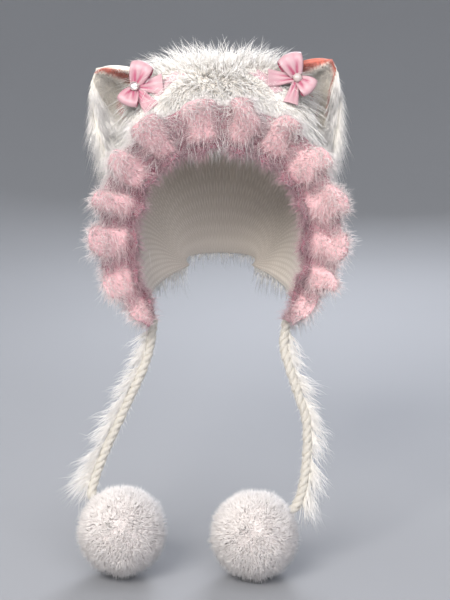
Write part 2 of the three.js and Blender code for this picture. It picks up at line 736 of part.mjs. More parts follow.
const shell = add("hood_shell", hoodSheet(0, KNIT_WALL), WHITE_YARN);
const pileRoots = hoodSheet(PILE_ROOT, PILE_TOP);
const trims = [add("ruffle_brim", ruffle([shell, pileRoots]), PINK_MOHAIR)];
for (const ear of EARS) {
  const back = add(`${ear.name}_ear_back`, earBack(ear), WHITE_YARN);
  const lining = add(`${ear.name}_ear_lining`, earLining(ear), CREAM_PLUSH);
  const ribbonEnd = add(`${ear.name}_bow_streamer`, streamer(ear, [pileRoots]), PALE_SATIN);
  const frame = bowFrame(ear);
  const behind = [back, lining, ribbonEnd, pileRoots];
  frame.centre.addScaledVector(frame.out, standOff(bow(ear, frame), frame.out, behind));
  trims.push(back, lining, ribbonEnd, add(`${ear.name}_bow`, bow(ear, frame), PINK_SATIN));
  add(`${ear.name}_bow_gem`, bowGem(frame), CRYSTAL);
}
for (const tie of TIES) {
  trims.push(add(`${tie.name}_tie`, tieCord(tie), WHITE_YARN));
  add(`${tie.name}_tie_fringe`, tieFringe(tie), WHITE_YARN);
  add(`${tie.name}_pompom`, pompom(tie), POMPOM_FUR);
}
add("crown_fur", crownFur(trims.flatMap(placesOn)), WHITE_YARN);

export default hood;
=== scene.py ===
# %% [markdown]
# A cat-eared bonnet in Blender
#
# The real bonnet is a knitted hood with long acrylic fur sewn over it, a thick mohair ruffle round the
# face, two plush ears with satin bows, and two twisted yarn ties that end in fur pompoms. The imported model
# gives every place and size. This lesson gives each piece its surface, mostly as real strands of pile.

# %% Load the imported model
import functools
import math

import bmesh
import bpy
import numpy as np
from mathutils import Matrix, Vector


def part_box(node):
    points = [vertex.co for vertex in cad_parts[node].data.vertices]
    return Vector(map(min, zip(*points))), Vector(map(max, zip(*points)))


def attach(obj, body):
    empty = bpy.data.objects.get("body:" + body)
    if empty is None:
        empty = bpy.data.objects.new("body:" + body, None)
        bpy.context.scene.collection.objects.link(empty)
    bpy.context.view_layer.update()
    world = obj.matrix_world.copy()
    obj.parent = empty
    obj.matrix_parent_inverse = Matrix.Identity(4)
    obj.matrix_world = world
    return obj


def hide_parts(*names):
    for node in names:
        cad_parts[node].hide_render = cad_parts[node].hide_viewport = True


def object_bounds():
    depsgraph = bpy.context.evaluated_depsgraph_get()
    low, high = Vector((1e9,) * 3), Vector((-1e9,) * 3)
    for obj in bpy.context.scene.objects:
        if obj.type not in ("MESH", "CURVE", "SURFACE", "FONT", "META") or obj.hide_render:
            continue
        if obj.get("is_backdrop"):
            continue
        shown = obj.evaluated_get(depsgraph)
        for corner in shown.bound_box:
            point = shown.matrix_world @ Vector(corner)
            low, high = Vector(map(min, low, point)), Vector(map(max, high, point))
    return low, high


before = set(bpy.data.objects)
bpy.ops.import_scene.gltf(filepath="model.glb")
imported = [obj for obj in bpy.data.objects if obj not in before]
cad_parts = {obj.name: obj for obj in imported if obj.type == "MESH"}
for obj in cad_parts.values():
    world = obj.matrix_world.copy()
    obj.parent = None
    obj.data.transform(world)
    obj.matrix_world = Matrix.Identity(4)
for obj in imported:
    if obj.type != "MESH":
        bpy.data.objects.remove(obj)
cad_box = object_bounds()
MM = 0.001
print("the packed model's box, in metres:", [tuple(round(c, 3) for c in corner) for corner in cad_box])

# %% [markdown]
# Three helpers serve every step. The first turns the sRGB hex colour that one would pick by eye into the
# linear values that a shader works in. The second adds one node with its settings and links, in a material
# and in a Geometry Nodes tree alike. The third makes directions one metre long.

# %% Colours, nodes and directions


def linear(hex_code):
    """An sRGB hex colour as linear red, green, blue and full alpha."""
    shares = [int(hex_code[i : i + 2], 16) / 255 for i in (1, 3, 5)]
    return (*[c / 12.92 if c <= 0.04045 else ((c + 0.055) / 1.055) ** 2.4 for c in shares], 1.0)


def add_node(tree, kind, links=None, output=0, **settings):
    """Adds a node with its settings. Each input in links takes a value, or another node's output.
    What comes back is the output asked for, by its name or place, or the node where it has none."""
    made = tree.nodes.new(kind)
    for setting, value in settings.items():
        setattr(made, setting, value)
    for socket, source in (links or {}).items():
        if isinstance(source, bpy.types.NodeSocket):
            tree.links.new(source, made.inputs[socket])
        else:
            made.inputs[socket].default_value = source
    return made.outputs[output] if len(made.outputs) else made


def unit(vectors):
    """The vectors, one metre long."""
    return vectors / np.linalg.norm(vectors, axis=-1, keepdims=True)


print("a mid grey of #808080 is this much light:", round(linear("#808080")[0], 3))

# %% [markdown]
# The hood's shape is a row of arches from the face opening to the nape. Each arch is a rounded square whose
# width, height and squareness come from a short table, smoothly interpolated. The same rule and table made
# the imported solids, so whatever is placed by a share across and a share back lands on the hood. A nearby
# place found by small differences gives the direction that stands off the cloth.

# %% Tables and the hood's arches
HOOD_HALF_WIDTH = 112 * MM
HOOD_DEPTH = 205 * MM
HOOD_DROP = 300 * MM
KNIT_WALL = 3 * MM
PILE_BACKING = 1.6 * MM
SEAM_GAP = 0.35 * MM
PILE_TOP = KNIT_WALL + SEAM_GAP + PILE_BACKING
CROWN_BACK = 0.463
FRONT_PLANE = -CROWN_BACK * HOOD_DEPTH
ARCH_SAMPLES = 60
SMALL_STEP = 0.004


def table(columns, *rows):
    """Rows of values as named columns."""
    return dict(zip(columns, zip(*rows)))


HOOD_ARCHES = table(
    ["at", "top_back", "top_down", "foot_back", "foot_down", "half", "foot_half", "widest", "square"],
    [0.0, 0.0, 0.315, 0.03, 1.0, 0.93, 0.7, 0.4, 2.3],
    [0.1, 0.04, 0.19, 0.12, 1.0, 0.97, 0.75, 0.43, 2.7],
    [0.22, 0.16, 0.075, 0.25, 0.99, 1.0, 0.79, 0.46, 3.3],
    [0.34, 0.315, 0.015, 0.37, 0.975, 1.0, 0.81, 0.48, 3.5],
    [0.44, CROWN_BACK, 0.0, 0.48, 0.96, 0.99, 0.81, 0.49, 3.2],
    [0.56, 0.65, 0.02, 0.62, 0.935, 0.96, 0.77, 0.48, 2.8],
    [0.68, 0.84, 0.12, 0.74, 0.91, 0.89, 0.68, 0.47, 2.5],
    [0.8, 0.965, 0.32, 0.83, 0.885, 0.77, 0.57, 0.46, 2.4],
    [0.9, 1.0, 0.56, 0.9, 0.87, 0.62, 0.47, 0.45, 2.3],
    [1.0, 0.965, 0.8, 0.955, 0.855, 0.42, 0.38, 0.45, 2.2],
)


def at_share(rows, name, at):
    """A table's column, smoothly interpolated at a share."""
    where, values = rows["at"], rows[name]
    last = len(where) - 1
    i = 0
    while i < last - 1 and at > where[i + 1]:
        i += 1

    def slope(k):
        before, after = max(k - 1, 0), min(k + 1, last)
        return (values[after] - values[before]) / (where[after] - where[before])

    span = where[i + 1] - where[i]
    t = min(max((at - where[i]) / span, 0), 1)
    rise = values[i + 1] - values[i]
    bend = t * (1 - t) * ((1 - t) * (slope(i) * span - rise) - t * (slope(i + 1) * span - rise))
    return values[i] + rise * t + bend


@functools.lru_cache(maxsize=None)
def half_arch(back):
    """Half of one arch: its top and foot as depth and height, and how far out and up it is by length."""
    value = {name: at_share(HOOD_ARCHES, name, back) for name in HOOD_ARCHES}
    top = np.array([(value["top_back"] - CROWN_BACK) * HOOD_DEPTH, -value["top_down"] * HOOD_DROP])
    foot = np.array([(value["foot_back"] - CROWN_BACK) * HOOD_DEPTH, -value["foot_down"] * HOOD_DROP])
    half, foot_half = value["half"] * HOOD_HALF_WIDTH, value["foot_half"] * HOOD_HALF_WIDTH
    height = np.linalg.norm(top - foot)
    widest = value["widest"] * height
    turn = np.linspace(0, math.pi / 2, ARCH_SAMPLES + 1)
    square = value["square"]
    reach = (np.sin(turn) ** square + np.cos(turn) ** square) ** (-1 / square)
    down = np.linspace(0, 1, ARCH_SAMPLES // 2 + 1)[1:]
    lower = half - (half - foot_half) * (1 - np.cos(down * math.pi / 2))
    out = np.concatenate([half * reach * np.sin(turn), lower])
    up = np.concatenate([widest + (height - widest) * reach * np.cos(turn), widest * (1 - down)])
    lengths = np.concatenate([[0], np.cumsum(np.hypot(np.diff(out), np.diff(up)))])
    return top, foot, out, up / height, lengths


def hood_inner(across, back):
    """Places on the hood's inner face along one arch, from the left foot (0) to the right foot (1)."""
    across = np.asarray(across, float)
    top, foot, out, up, lengths = half_arch(float(back))
    along = np.abs(2 * across - 1) * lengths[-1]
    share = np.interp(along, lengths, up)
    x = np.sign(2 * across - 1) * np.interp(along, lengths, out)
    return np.stack([x, foot[0] + (top[0] - foot[0]) * share, foot[1] + (top[1] - foot[1]) * share], -1)


def hood_normal(across, back):
    """Directions that stand off the hood's cloth."""
    across = np.asarray(across, float)
    before, after = np.maximum(across - SMALL_STEP, 0), np.minimum(across + SMALL_STEP, 1)
    sideways = hood_inner(after, back) - hood_inner(before, back)
    nearer, further = max(back - SMALL_STEP, 0), min(back + SMALL_STEP, 1)
    return unit(np.cross(sideways, hood_inner(across, further) - hood_inner(across, nearer)))


def hood_point(across, back, height):
    """Places at a height over the inner face, kept behind the plane that the ruffle is sewn to."""
    places = hood_inner(across, back) + hood_normal(across, back) * height
    places[..., 1] = np.maximum(places[..., 1], FRONT_PLANE)
    return places


print("height of the face opening, in metres:", round(HOOD_DROP * (1 - HOOD_ARCHES["top_down"][0]), 3))

# %% [markdown]
# Most pieces are sheets: a grid of places in front, another behind, and a rim between them. A sheet closed
# in this way has an inside and an outside, so it bakes and prints without stray faces. Marks are numbers
# kept on the mesh's points, which a material reads as a painter reads a chalk line.

# %% Meshes from grids of places


def faced_out(points, faces):
    """The faces, turned if they enclose a negative volume."""
    corners = points[np.array([[f[0], f[k], f[k + 1]] for f in faces for k in range(1, len(f) - 1)])]
    volume = np.einsum("ij,ij->i", corners[:, 0], np.cross(corners[:, 1], corners[:, 2])).sum()
    return faces if volume > 0 else [tuple(reversed(f)) for f in faces]


def mesh_of(name, points, faces, uv=None, **marks):
    """A smooth mesh, with its UV map and its marks given for each point."""
    points = np.asarray(points, float).reshape(-1, 3)
    mesh = bpy.data.meshes.new(name)
    mesh.from_pydata(points.tolist(), [], faces)
    for mark, values in marks.items():
        values = np.asarray(values, float)
        if values.ndim > 1 and values.shape[-1] == 3:
            mesh.attributes.new(mark, "FLOAT_VECTOR", "POINT").data.foreach_set("vector", values.ravel())
        else:
            mesh.attributes.new(mark, "FLOAT", "POINT").data.foreach_set("value", values.ravel())
    if uv is not None:
        corner_points = np.zeros(len(mesh.loops), int)
        mesh.loops.foreach_get("vertex_index", corner_points)
        mesh.uv_layers.new(name="UVMap").data.foreach_set("uv", np.asarray(uv)[corner_points].ravel())
    mesh.shade_smooth()
    return mesh


def grid_faces(columns, rows, start=0):
    """The cells of a grid of places that run along each column in turn."""
    return [
        (start + i * (rows + 1) + j, start + (i + 1) * (rows + 1) + j,
         start + (i + 1) * (rows + 1) + j + 1, start + i * (rows + 1) + j + 1)
        for i in range(columns)
        for j in range(rows)
    ]


def sheet_mesh(name, front, back, **marks):
    """A closed sheet between two grids of places. A mark given once counts for both faces."""
    columns, rows = front.shape[0] - 1, front.shape[1] - 1
    count = (columns + 1) * (rows + 1)
    faces = grid_faces(columns, rows)
    faces += [tuple(reversed(f)) for f in grid_faces(columns, rows, count)]
    rim = [i * (rows + 1) for i in range(columns)]
    rim += [columns * (rows + 1) + j for j in range(rows)]
    rim += [i * (rows + 1) + rows for i in range(columns, 0, -1)]
    rim += list(range(rows, 0, -1))
    faces += [(a, a + count, b + count, b) for a, b in zip(rim, rim[1:] + rim[:1])]
    points = np.concatenate([front.reshape(-1, 3), back.reshape(-1, 3)])
    s, t = np.meshgrid(np.linspace(0, 1, columns + 1), np.linspace(0, 1, rows + 1), indexing="ij")
    uv = np.tile(np.stack([s.ravel(), t.ravel()], -1), (2, 1))
    both = {}
    for mark, value in marks.items():
        pair = value if isinstance(value, tuple) else (value, value)
        both[mark] = np.concatenate([np.asarray(v).reshape(count, -1) for v in pair]).squeeze()
    return mesh_of(name, points, faced_out(points, faces), uv, **both)


def grid_normals(grid, toward):
    """Directions that stand off a grid of places, on the side that toward points to."""
    normals = unit(np.cross(np.gradient(grid, axis=0), np.gradient(grid, axis=1)))
    return normals * np.sign((normals * toward).sum(-1).mean())


def show(name, mesh, material, slot, *nodes):
    """Adds a finished mesh to the object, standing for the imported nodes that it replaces."""
    piece = bpy.data.objects.new(name, mesh)
    bpy.context.scene.collection.objects.link(piece)
    if material:
        mesh.materials.append(material)
    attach(piece, "root")
    if nodes:
        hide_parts(*nodes)
    print(f"{name}: {sum(len(p.vertices) - 2 for p in mesh.polygons)} triangles")
    return piece


print("faces in a grid of three by two cells:", grid_faces(3, 2))

# %% [markdown]
# Pile is thousands of strands that are alike, so Geometry Nodes grow it. Roots are scattered over a mesh
# that carries marks: how thickly it grows (cover), how long (pile), which way it stands and is combed, how
# far it is lifted, and the marks that colour it, such as white trim, painted highlight and painted shade.
# Each root gets a line of a few points. The line leaves along stand and comb, droops with its own weight,
# leans to the middle of its lock, and curls with noise. Frizz says how far each strand's curl differs from
# its neighbours': little in combed fur, much in mohair. A three-sided tube along it tapers to a point, and
# merging the point's corners leaves ten triangles on a strand of two steps.
# The tree ends in Realize Instances and Set Material, and the result is taken as a plain mesh.

# %% The tree that grows pile
PILE_SIZES = {
    "Density": "NodeSocketFloat",
    "Length": "NodeSocketFloat",
    "Width": "NodeSocketFloat",
    "Variety": "NodeSocketFloat",
    "Sway": "NodeSocketFloat",
    "Droop": "NodeSocketFloat",
    "Lock Size": "NodeSocketFloat",
    "Lock Pull": "NodeSocketFloat",
    "Curl": "NodeSocketFloat",
    "Curl Size": "NodeSocketFloat",
    "Frizz": "NodeSocketFloat",
    "Taper": "NodeSocketFloat",
    "Steps": "NodeSocketInt",
    "Seed": "NodeSocketInt",
    "Material": "NodeSocketMaterial",
}
TIP_MERGE = 0.002 * MM
SUM, WAY, MARK = "ShaderNodeMath", "ShaderNodeVectorMath", "GeometryNodeInputNamedAttribute"
CHANCE, STORE = "FunctionNodeRandomValue", "GeometryNodeStoreNamedAttribute"


def grow_tree():
    """The Geometry Nodes tree that turns a marked mesh into strands of pile."""
    tree = bpy.data.node_groups.new("Pile", "GeometryNodeTree")
    tree.interface.new_socket("Geometry", in_out="INPUT", socket_type="NodeSocketGeometry")
    for size, kind in PILE_SIZES.items():
        tree.interface.new_socket(size, in_out="INPUT", socket_type=kind)
    tree.interface.new_socket("Geometry", in_out="OUTPUT", socket_type="NodeSocketGeometry")
    given = tree.nodes.new("NodeGroupInput").outputs

    # The roots, and how long each strand is
    cover = add_node(tree, MARK, {"Name": "cover"}, data_type="FLOAT")
    density = add_node(tree, SUM, {0: given["Density"], 1: cover}, operation="MULTIPLY")
    scatter = {"Mesh": given["Geometry"], "Density": density, "Seed": given["Seed"]}
    roots = add_node(tree, "GeometryNodeDistributePointsOnFaces", scatter)
    place = add_node(tree, "GeometryNodeInputPosition")
    more = add_node(tree, SUM, {0: 1.0, 1: given["Variety"]}, operation="ADD")
    less = add_node(tree, SUM, {0: 1.0, 1: given["Variety"]}, operation="SUBTRACT")
    varied = add_node(tree, CHANCE, {2: less, 3: more, "Seed": given["Seed"]}, 1, data_type="FLOAT")
    pile = add_node(tree, MARK, {"Name": "pile"}, data_type="FLOAT")
    length = add_node(tree, SUM, {0: given["Length"], 1: pile}, operation="MULTIPLY")
    length = add_node(tree, SUM, {0: length, 1: varied}, operation="MULTIPLY")

    # The way each strand leaves: laid along comb, raised along stand, and swayed by chance
    lift = add_node(tree, MARK, {"Name": "lift"}, data_type="FLOAT")
    laid_share = add_node(tree, SUM, {0: 1.0, 1: lift}, operation="SUBTRACT")
    comb = add_node(tree, MARK, {"Name": "comb"}, data_type="FLOAT_VECTOR")
    stand = add_node(tree, MARK, {"Name": "stand"}, data_type="FLOAT_VECTOR")
    laid = add_node(tree, WAY, {0: comb, "Scale": laid_share}, operation="SCALE")
    raised = add_node(tree, WAY, {0: stand, "Scale": lift}, operation="SCALE")
    box = {0: (-1.0, -1.0, -1.0), 1: (1.0, 1.0, 1.0), "Seed": given["Seed"]}
    spread = add_node(tree, CHANCE, box, data_type="FLOAT_VECTOR")
    swayed = add_node(tree, WAY, {0: spread, "Scale": given["Sway"]}, operation="SCALE")
    aim = add_node(tree, WAY, {0: laid, 1: raised}, operation="ADD")
    aim = add_node(tree, WAY, {0: aim, 1: swayed}, operation="ADD")
    aim = add_node(tree, WAY, {0: aim}, operation="NORMALIZE")
    way = add_node(tree, WAY, {0: aim, "Scale": length}, operation="SCALE")

    # The lean towards the middle of the strand's lock, which is the nearest cell's place
    cells = add_node(tree, SUM, {0: 1.0, 1: given["Lock Size"]}, operation="DIVIDE")
    middle = add_node(tree, "ShaderNodeTexVoronoi", {"Vector": place, "Scale": cells}, "Position")
    lean = add_node(tree, WAY, {0: middle, 1: place}, operation="SUBTRACT")
    lean = add_node(tree, WAY, {0: lean, "Scale": given["Lock Pull"]}, operation="SCALE")

    # What each root hands on to the points of its strand
    next_seed = add_node(tree, SUM, {0: given["Seed"], 1: 1.0}, operation="ADD")
    tint = add_node(tree, CHANCE, {"Seed": next_seed}, 1, data_type="FLOAT")
    kept = {"root": place, "way": way, "lean": lean, "reach": length, "tint": tint}
    for name, value in kept.items():
        kind = "FLOAT_VECTOR" if value.type == "VECTOR" else "FLOAT"
        links = {"Geometry": roots, "Name": name, "Value": value}
        roots = add_node(tree, STORE, links, data_type=kind, domain="POINT")

    # One line on each root, with its share of the way along kept on its points
    line = add_node(tree, "GeometryNodeCurvePrimitiveLine", {"End": (0.0, 0.0, 1.0)})
    points = add_node(tree, SUM, {0: given["Steps"], 1: 1.0}, operation="ADD")
    line = add_node(tree, "GeometryNodeResampleCurve", {"Curve": line, "Count": points})
    strands = add_node(tree, "GeometryNodeInstanceOnPoints", {"Points": roots, "Instance": line})
    strands = add_node(tree, "GeometryNodeRealizeInstances", {"Geometry": strands})
    factor = add_node(tree, "GeometryNodeSplineParameter", output="Factor")
    links = {"Geometry": strands, "Name": "along", "Value": factor}
    strands = add_node(tree, STORE, links, data_type="FLOAT", domain="POINT")

    # Each point goes out along the way, leans into its lock, droops, and curls
    along = add_node(tree, MARK, {"Name": "along"}, data_type="FLOAT")
    reach = add_node(tree, MARK, {"Name": "reach"}, data_type="FLOAT")
    root = add_node(tree, MARK, {"Name": "root"}, data_type="FLOAT_VECTOR")
    out = add_node(tree, MARK, {"Name": "way"}, data_type="FLOAT_VECTOR")
    out = add_node(tree, WAY, {0: out, "Scale": along}, operation="SCALE")
    path = add_node(tree, WAY, {0: root, 1: out}, operation="ADD")
    late = add_node(tree, SUM, {0: along, 1: 1.5}, operation="POWER")
    leaning = add_node(tree, MARK, {"Name": "lean"}, data_type="FLOAT_VECTOR")
    leaning = add_node(tree, WAY, {0: leaning, "Scale": late}, operation="SCALE")
    path = add_node(tree, WAY, {0: path, 1: leaning}, operation="ADD")
    later = add_node(tree, SUM, {0: along, 1: 2.0}, operation="POWER")
    fall = add_node(tree, SUM, {0: given["Droop"], 1: reach}, operation="MULTIPLY")
    fall = add_node(tree, SUM, {0: fall, 1: later}, operation="MULTIPLY")
    down = add_node(tree, WAY, {0: (0.0, 0.0, -1.0), "Scale": fall}, operation="SCALE")
    path = add_node(tree, WAY, {0: path, 1: down}, operation="ADD")
    own = add_node(tree, MARK, {"Name": "tint"}, data_type="FLOAT")
    own = add_node(tree, SUM, {0: own, 1: given["Frizz"]}, operation="MULTIPLY")
    swirls = add_node(tree, SUM, {0: 1.0, 1: given["Curl Size"]}, operation="DIVIDE")
    links = {"Vector": path, "W": own, "Scale": swirls, "Detail": 1.0}
    swirl = add_node(tree, "ShaderNodeTexNoise", links, "Color", noise_dimensions="4D")
    swirl = add_node(tree, WAY, {0: swirl, 1: (0.5, 0.5, 0.5)}, operation="SUBTRACT")
    curl = add_node(tree, SUM, {0: given["Curl"], 1: reach}, operation="MULTIPLY")
    curl = add_node(tree, SUM, {0: curl, 1: along}, operation="MULTIPLY")
    swirl = add_node(tree, WAY, {0: swirl, "Scale": curl}, operation="SCALE")
    path = add_node(tree, WAY, {0: path, 1: swirl}, operation="ADD")
    strands = add_node(tree, "GeometryNodeSetPosition", {"Geometry": strands, "Position": path})

    # A three-sided tube that tapers to a point
    left = add_node(tree, SUM, {0: 1.0, 1: along}, operation="SUBTRACT")
    slim = add_node(tree, SUM, {0: left, 1: given["Taper"]}, operation="POWER")
    radius = add_node(tree, SUM, {0: given["Width"], 1: 0.5}, operation="MULTIPLY")
    radius = add_node(tree, SUM, {0: radius, 1: slim}, operation="MULTIPLY")
    ring = add_node(tree, "GeometryNodeCurvePrimitiveCircle", {"Resolution": 3, "Radius": 1.0})
    links = {"Curve": strands, "Profile Curve": ring, "Scale": radius, "Fill Caps": True}
    strands = add_node(tree, "GeometryNodeCurveToMesh", links)
    links = {"Geometry": strands, "Distance": TIP_MERGE}
    strands = add_node(tree, "GeometryNodeMergeByDistance", links)
    strands = add_node(tree, "GeometryNodeSetShadeSmooth", {"Geometry": strands})
    strands = add_node(tree, "GeometryNodeRealizeInstances", {"Geometry": strands})
    links = {"Geometry": strands, "Material": given["Material"]}
    strands = add_node(tree, "GeometryNodeSetMaterial", links)
    add_node(tree, "NodeGroupOutput", {0: strands})
    return tree


PILE_TREE = grow_tree()
PILE_USUAL = {
    "variety": 0.3,
    "sway": 0.25,
    "droop": 0.3,
    "lock_size": 8 * MM,
    "lock_pull": 0.3,
    "curl": 0.2,
    "curl_size": 12 * MM,
    "frizz": 1.2,
    "taper": 0.8,
    "steps": 2,
}
KEPT_MARKS = ("along", "tint", "dye", "valley", "coral", "depth", "sharp_face")
print("the tree that grows pile has", len(PILE_TREE.nodes), "nodes")


def pile_mesh(name, roots, count, material, **sizes):
    """About count strands over the mesh of roots, as one plain mesh. The roots are used up. The sizes
    are the tree's inputs in small letters, and PILE_USUAL gives those that aren't named."""
    cover = np.zeros(len(roots.vertices))
    roots.attributes["cover"].data.foreach_get("value", cover)
    grown_area = sum(p.area * cover[list(p.vertices)].mean() for p in roots.polygons)
    values = {**PILE_USUAL, **sizes, "density": count / grown_area, "material": material}
    holder = bpy.data.objects.new(name + ".roots", roots)
    modifier = holder.modifiers.new("Pile", "NODES")
    modifier.node_group = PILE_TREE
    for item in PILE_TREE.interface.items_tree:
        size = item.name.lower().replace(" ", "_")
        if item.in_out == "INPUT" and size in values:
            modifier[item.identifier] = values[size]
    bpy.context.scene.collection.objects.link(holder)
    depsgraph = bpy.context.evaluated_depsgraph_get()
    mesh = bpy.data.meshes.new_from_object(holder.evaluated_get(depsgraph), depsgraph=depsgraph)
    mesh.name = name
    bpy.data.objects.remove(holder)
    bpy.data.meshes.remove(roots)
    for spare in [a.name for a in mesh.attributes if not (a.is_required or a.is_internal)]:
        if spare not in KEPT_MARKS and spare in mesh.attributes:
            mesh.attributes.remove(mesh.attributes[spare])
    return mesh


def root_mesh(grid, **marks):
    """An open sheet of roots over a grid of places."""
    columns, rows = grid.shape[0] - 1, grid.shape[1] - 1
    flat = {}
    for name, value in marks.items():
        is_way = np.ndim(value) > 2
        whole = np.broadcast_to(value, grid.shape if is_way else grid.shape[:2])
        flat[name] = whole.reshape(-1, 3) if is_way else whole.ravel()
    return mesh_of("roots", grid, grid_faces(columns, rows), **flat)


def along_surface(way, normals):
    """A direction laid flat on a surface."""
    way = np.broadcast_to(way, normals.shape)
    return way - (way * normals).sum(-1, keepdims=True) * normals


# %% [markdown]
# The camera looks at the middle of the bonnet from eight degrees above it, and stands far enough away for
# a portrait lens. The floor is pale paper that rises into a wall far away on every side, where it darkens,
# so that white fur shows against it. A large soft light hangs in front and above, a broader one beside it
# fills the shadows, and a small one lifts the fur's edge from behind.

# %% Camera, lights and floor
CAMERA_TARGET = np.array([6, -95, -278]) * MM
CAMERA_DISTANCE = 1300 * MM
CAMERA_ELEVATION = math.radians(8)
LENS_MM = 65
FLOOR_GAP = 1 * MM
SMALLEST = 0.01 * MM
FLOOR_FLAT = 0.5
FLOOR_RISE = 6.0
PAPER_CLOUD = 2 / 3
HORIZON_GLOW = 0.62
OVERHEAD_GLOW = 1.6

aim_back = np.array([0, -math.cos(CAMERA_ELEVATION), math.sin(CAMERA_ELEVATION)])
lens = bpy.data.cameras.new("portrait_lens")
lens.lens = LENS_MM
camera = bpy.data.objects.new("camera", lens)
camera.location = CAMERA_TARGET + aim_back * CAMERA_DISTANCE
camera.rotation_euler = (math.pi / 2 - CAMERA_ELEVATION, 0, 0)
bpy.context.scene.collection.objects.link(camera)
bpy.context.scene.camera = camera
bpy.context.scene.view_settings.view_transform = "Standard"

FLOOR_HEIGHT = min(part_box(f"{side}_pompom")[0].z for side in ("left", "right")) - FLOOR_GAP


def soft_light(name, place, size, power, colour):
    """An area light that faces the bonnet."""
    light = bpy.data.lights.new(name, "AREA")
    light.size, light.energy, light.color = size, power, linear(colour)[:3]
    lamp = bpy.data.objects.new(name, light)
    lamp.location = place
    toward = np.asarray(CAMERA_TARGET) - np.asarray(place)
    lamp.rotation_euler = tuple(Vector(toward).to_track_quat("-Z", "Y").to_euler())
    bpy.context.scene.collection.objects.link(lamp)


soft_light("key_light", place=(-1.05, -2.35, 1.34), size=1.4, power=96, colour="#FFFAF5")
soft_light("fill_light", place=(0.9, -3.16, 0.76), size=2.4, power=90, colour="#F8F8FF")
soft_light("back_light", place=(0.3, 1.6, 0.8), size=0.9, power=34, colour="#F6F8FF")


def studio_world():
    """A room that is bright overhead and dim round the horizon, so that white fur shows against it."""
    world = bpy.data.worlds.new("studio")
    world.use_nodes = True
    tree = world.node_tree
    tree.nodes["Background"].inputs["Color"].default_value = linear("#F2F4F7")
    way = add_node(tree, "ShaderNodeTexCoord", output="Generated")
    height = add_node(tree, "ShaderNodeSeparateXYZ", {0: way}, "Z")
    links = {0: height, 1: 0.1, 2: 0.9, 3: HORIZON_GLOW, 4: OVERHEAD_GLOW}
    glow = add_node(tree, "ShaderNodeMapRange", links, interpolation_type="SMOOTHSTEP")
    tree.links.new(glow, tree.nodes["Background"].inputs["Strength"])
    bpy.context.scene.world = world


def floor_material():
    """Matt studio paper in one pale grey, with a faint unevenness two thirds of a metre across."""
    material = bpy.data.materials.new("Matt grey paper")
    material.use_nodes = True
    tree = material.node_tree
    surface = tree.nodes["Principled BSDF"]
    surface.inputs["Roughness"].default_value = 0.9
    place = add_node(tree, "ShaderNodeTexCoord", output="Object")
    links = {"Vector": place, "Scale": 1 / PAPER_CLOUD, "Detail": 3.0}
    cloud = add_node(tree, "ShaderNodeTexNoise", links, "Fac")
    links = {0: cloud, 6: linear("#8E9094"), 7: linear("#929498")}
    paper = add_node(tree, "ShaderNodeMix", links, 2, data_type="RGBA")
    tree.links.new(paper, surface.inputs["Base Color"])
    return material


def studio_floor():
    """A flat floor that rises into a wall all round, far outside every camera."""
    rise = np.linspace(0, math.pi / 2, 20)
    out = np.concatenate([[SMALLEST], FLOOR_FLAT + FLOOR_RISE * np.sin(rise), [FLOOR_FLAT + FLOOR_RISE]])
    up = np.concatenate([[0], FLOOR_RISE * (1 - np.cos(rise)), [2 * FLOOR_RISE]]) + FLOOR_HEIGHT
    turn = np.linspace(0, 2 * math.pi, 49)[:, None]
    grid = np.stack([out * np.cos(turn), out * np.sin(turn), up + 0 * turn], -1)
    faces = grid_faces(grid.shape[0] - 1, grid.shape[1] - 1)
    floor = bpy.data.objects.new("floor", mesh_of("floor", grid, [tuple(reversed(f)) for f in faces]))
    floor.data.materials.append(floor_material())
    bpy.context.scene.collection.objects.link(floor)
    floor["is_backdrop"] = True


studio_world()
studio_floor()
print("floor height, in metres:", round(FLOOR_HEIGHT, 4))


# %% [markdown]
# Three finishes cover most of the bonnet. The pile is acrylic or mohair: hundreds of fine fibres that look
# darker in the depth, where light is lost between them, and lighter at the tips, and each strand's colour
# paints this shade in, darker at the root and lighter at the tip. The yarn is wool-like and matt, with fibres
# along its twist and painted shade in the furrows between its plies. A strand's material reads how far along
# it a point is, and a value of its own from chance, so that no two strands are the same white.

# %% Finishes of pile and yarn
PILE_MIDDLE = 0.45
DARKEST_STRAND = 0.88
LIGHTEST_STRAND = 1.06
# Fibres in one turn round the cord, and in a metre along it: 0.4 mm wide, as fine as the render shows
FIBRES_AROUND = 90
FIBRES_ALONG = 12


def new_material(name, **sockets):
    """A named material, its shader, and its tree. Sockets are set on the shader itself."""
    material = bpy.data.materials.new(name)
    material.use_nodes = True
    surface = material.node_tree.nodes["Principled BSDF"]
    for socket, value in sockets.items():
        surface.inputs[socket.replace("_", " ")].default_value = value
    return material, surface, material.node_tree


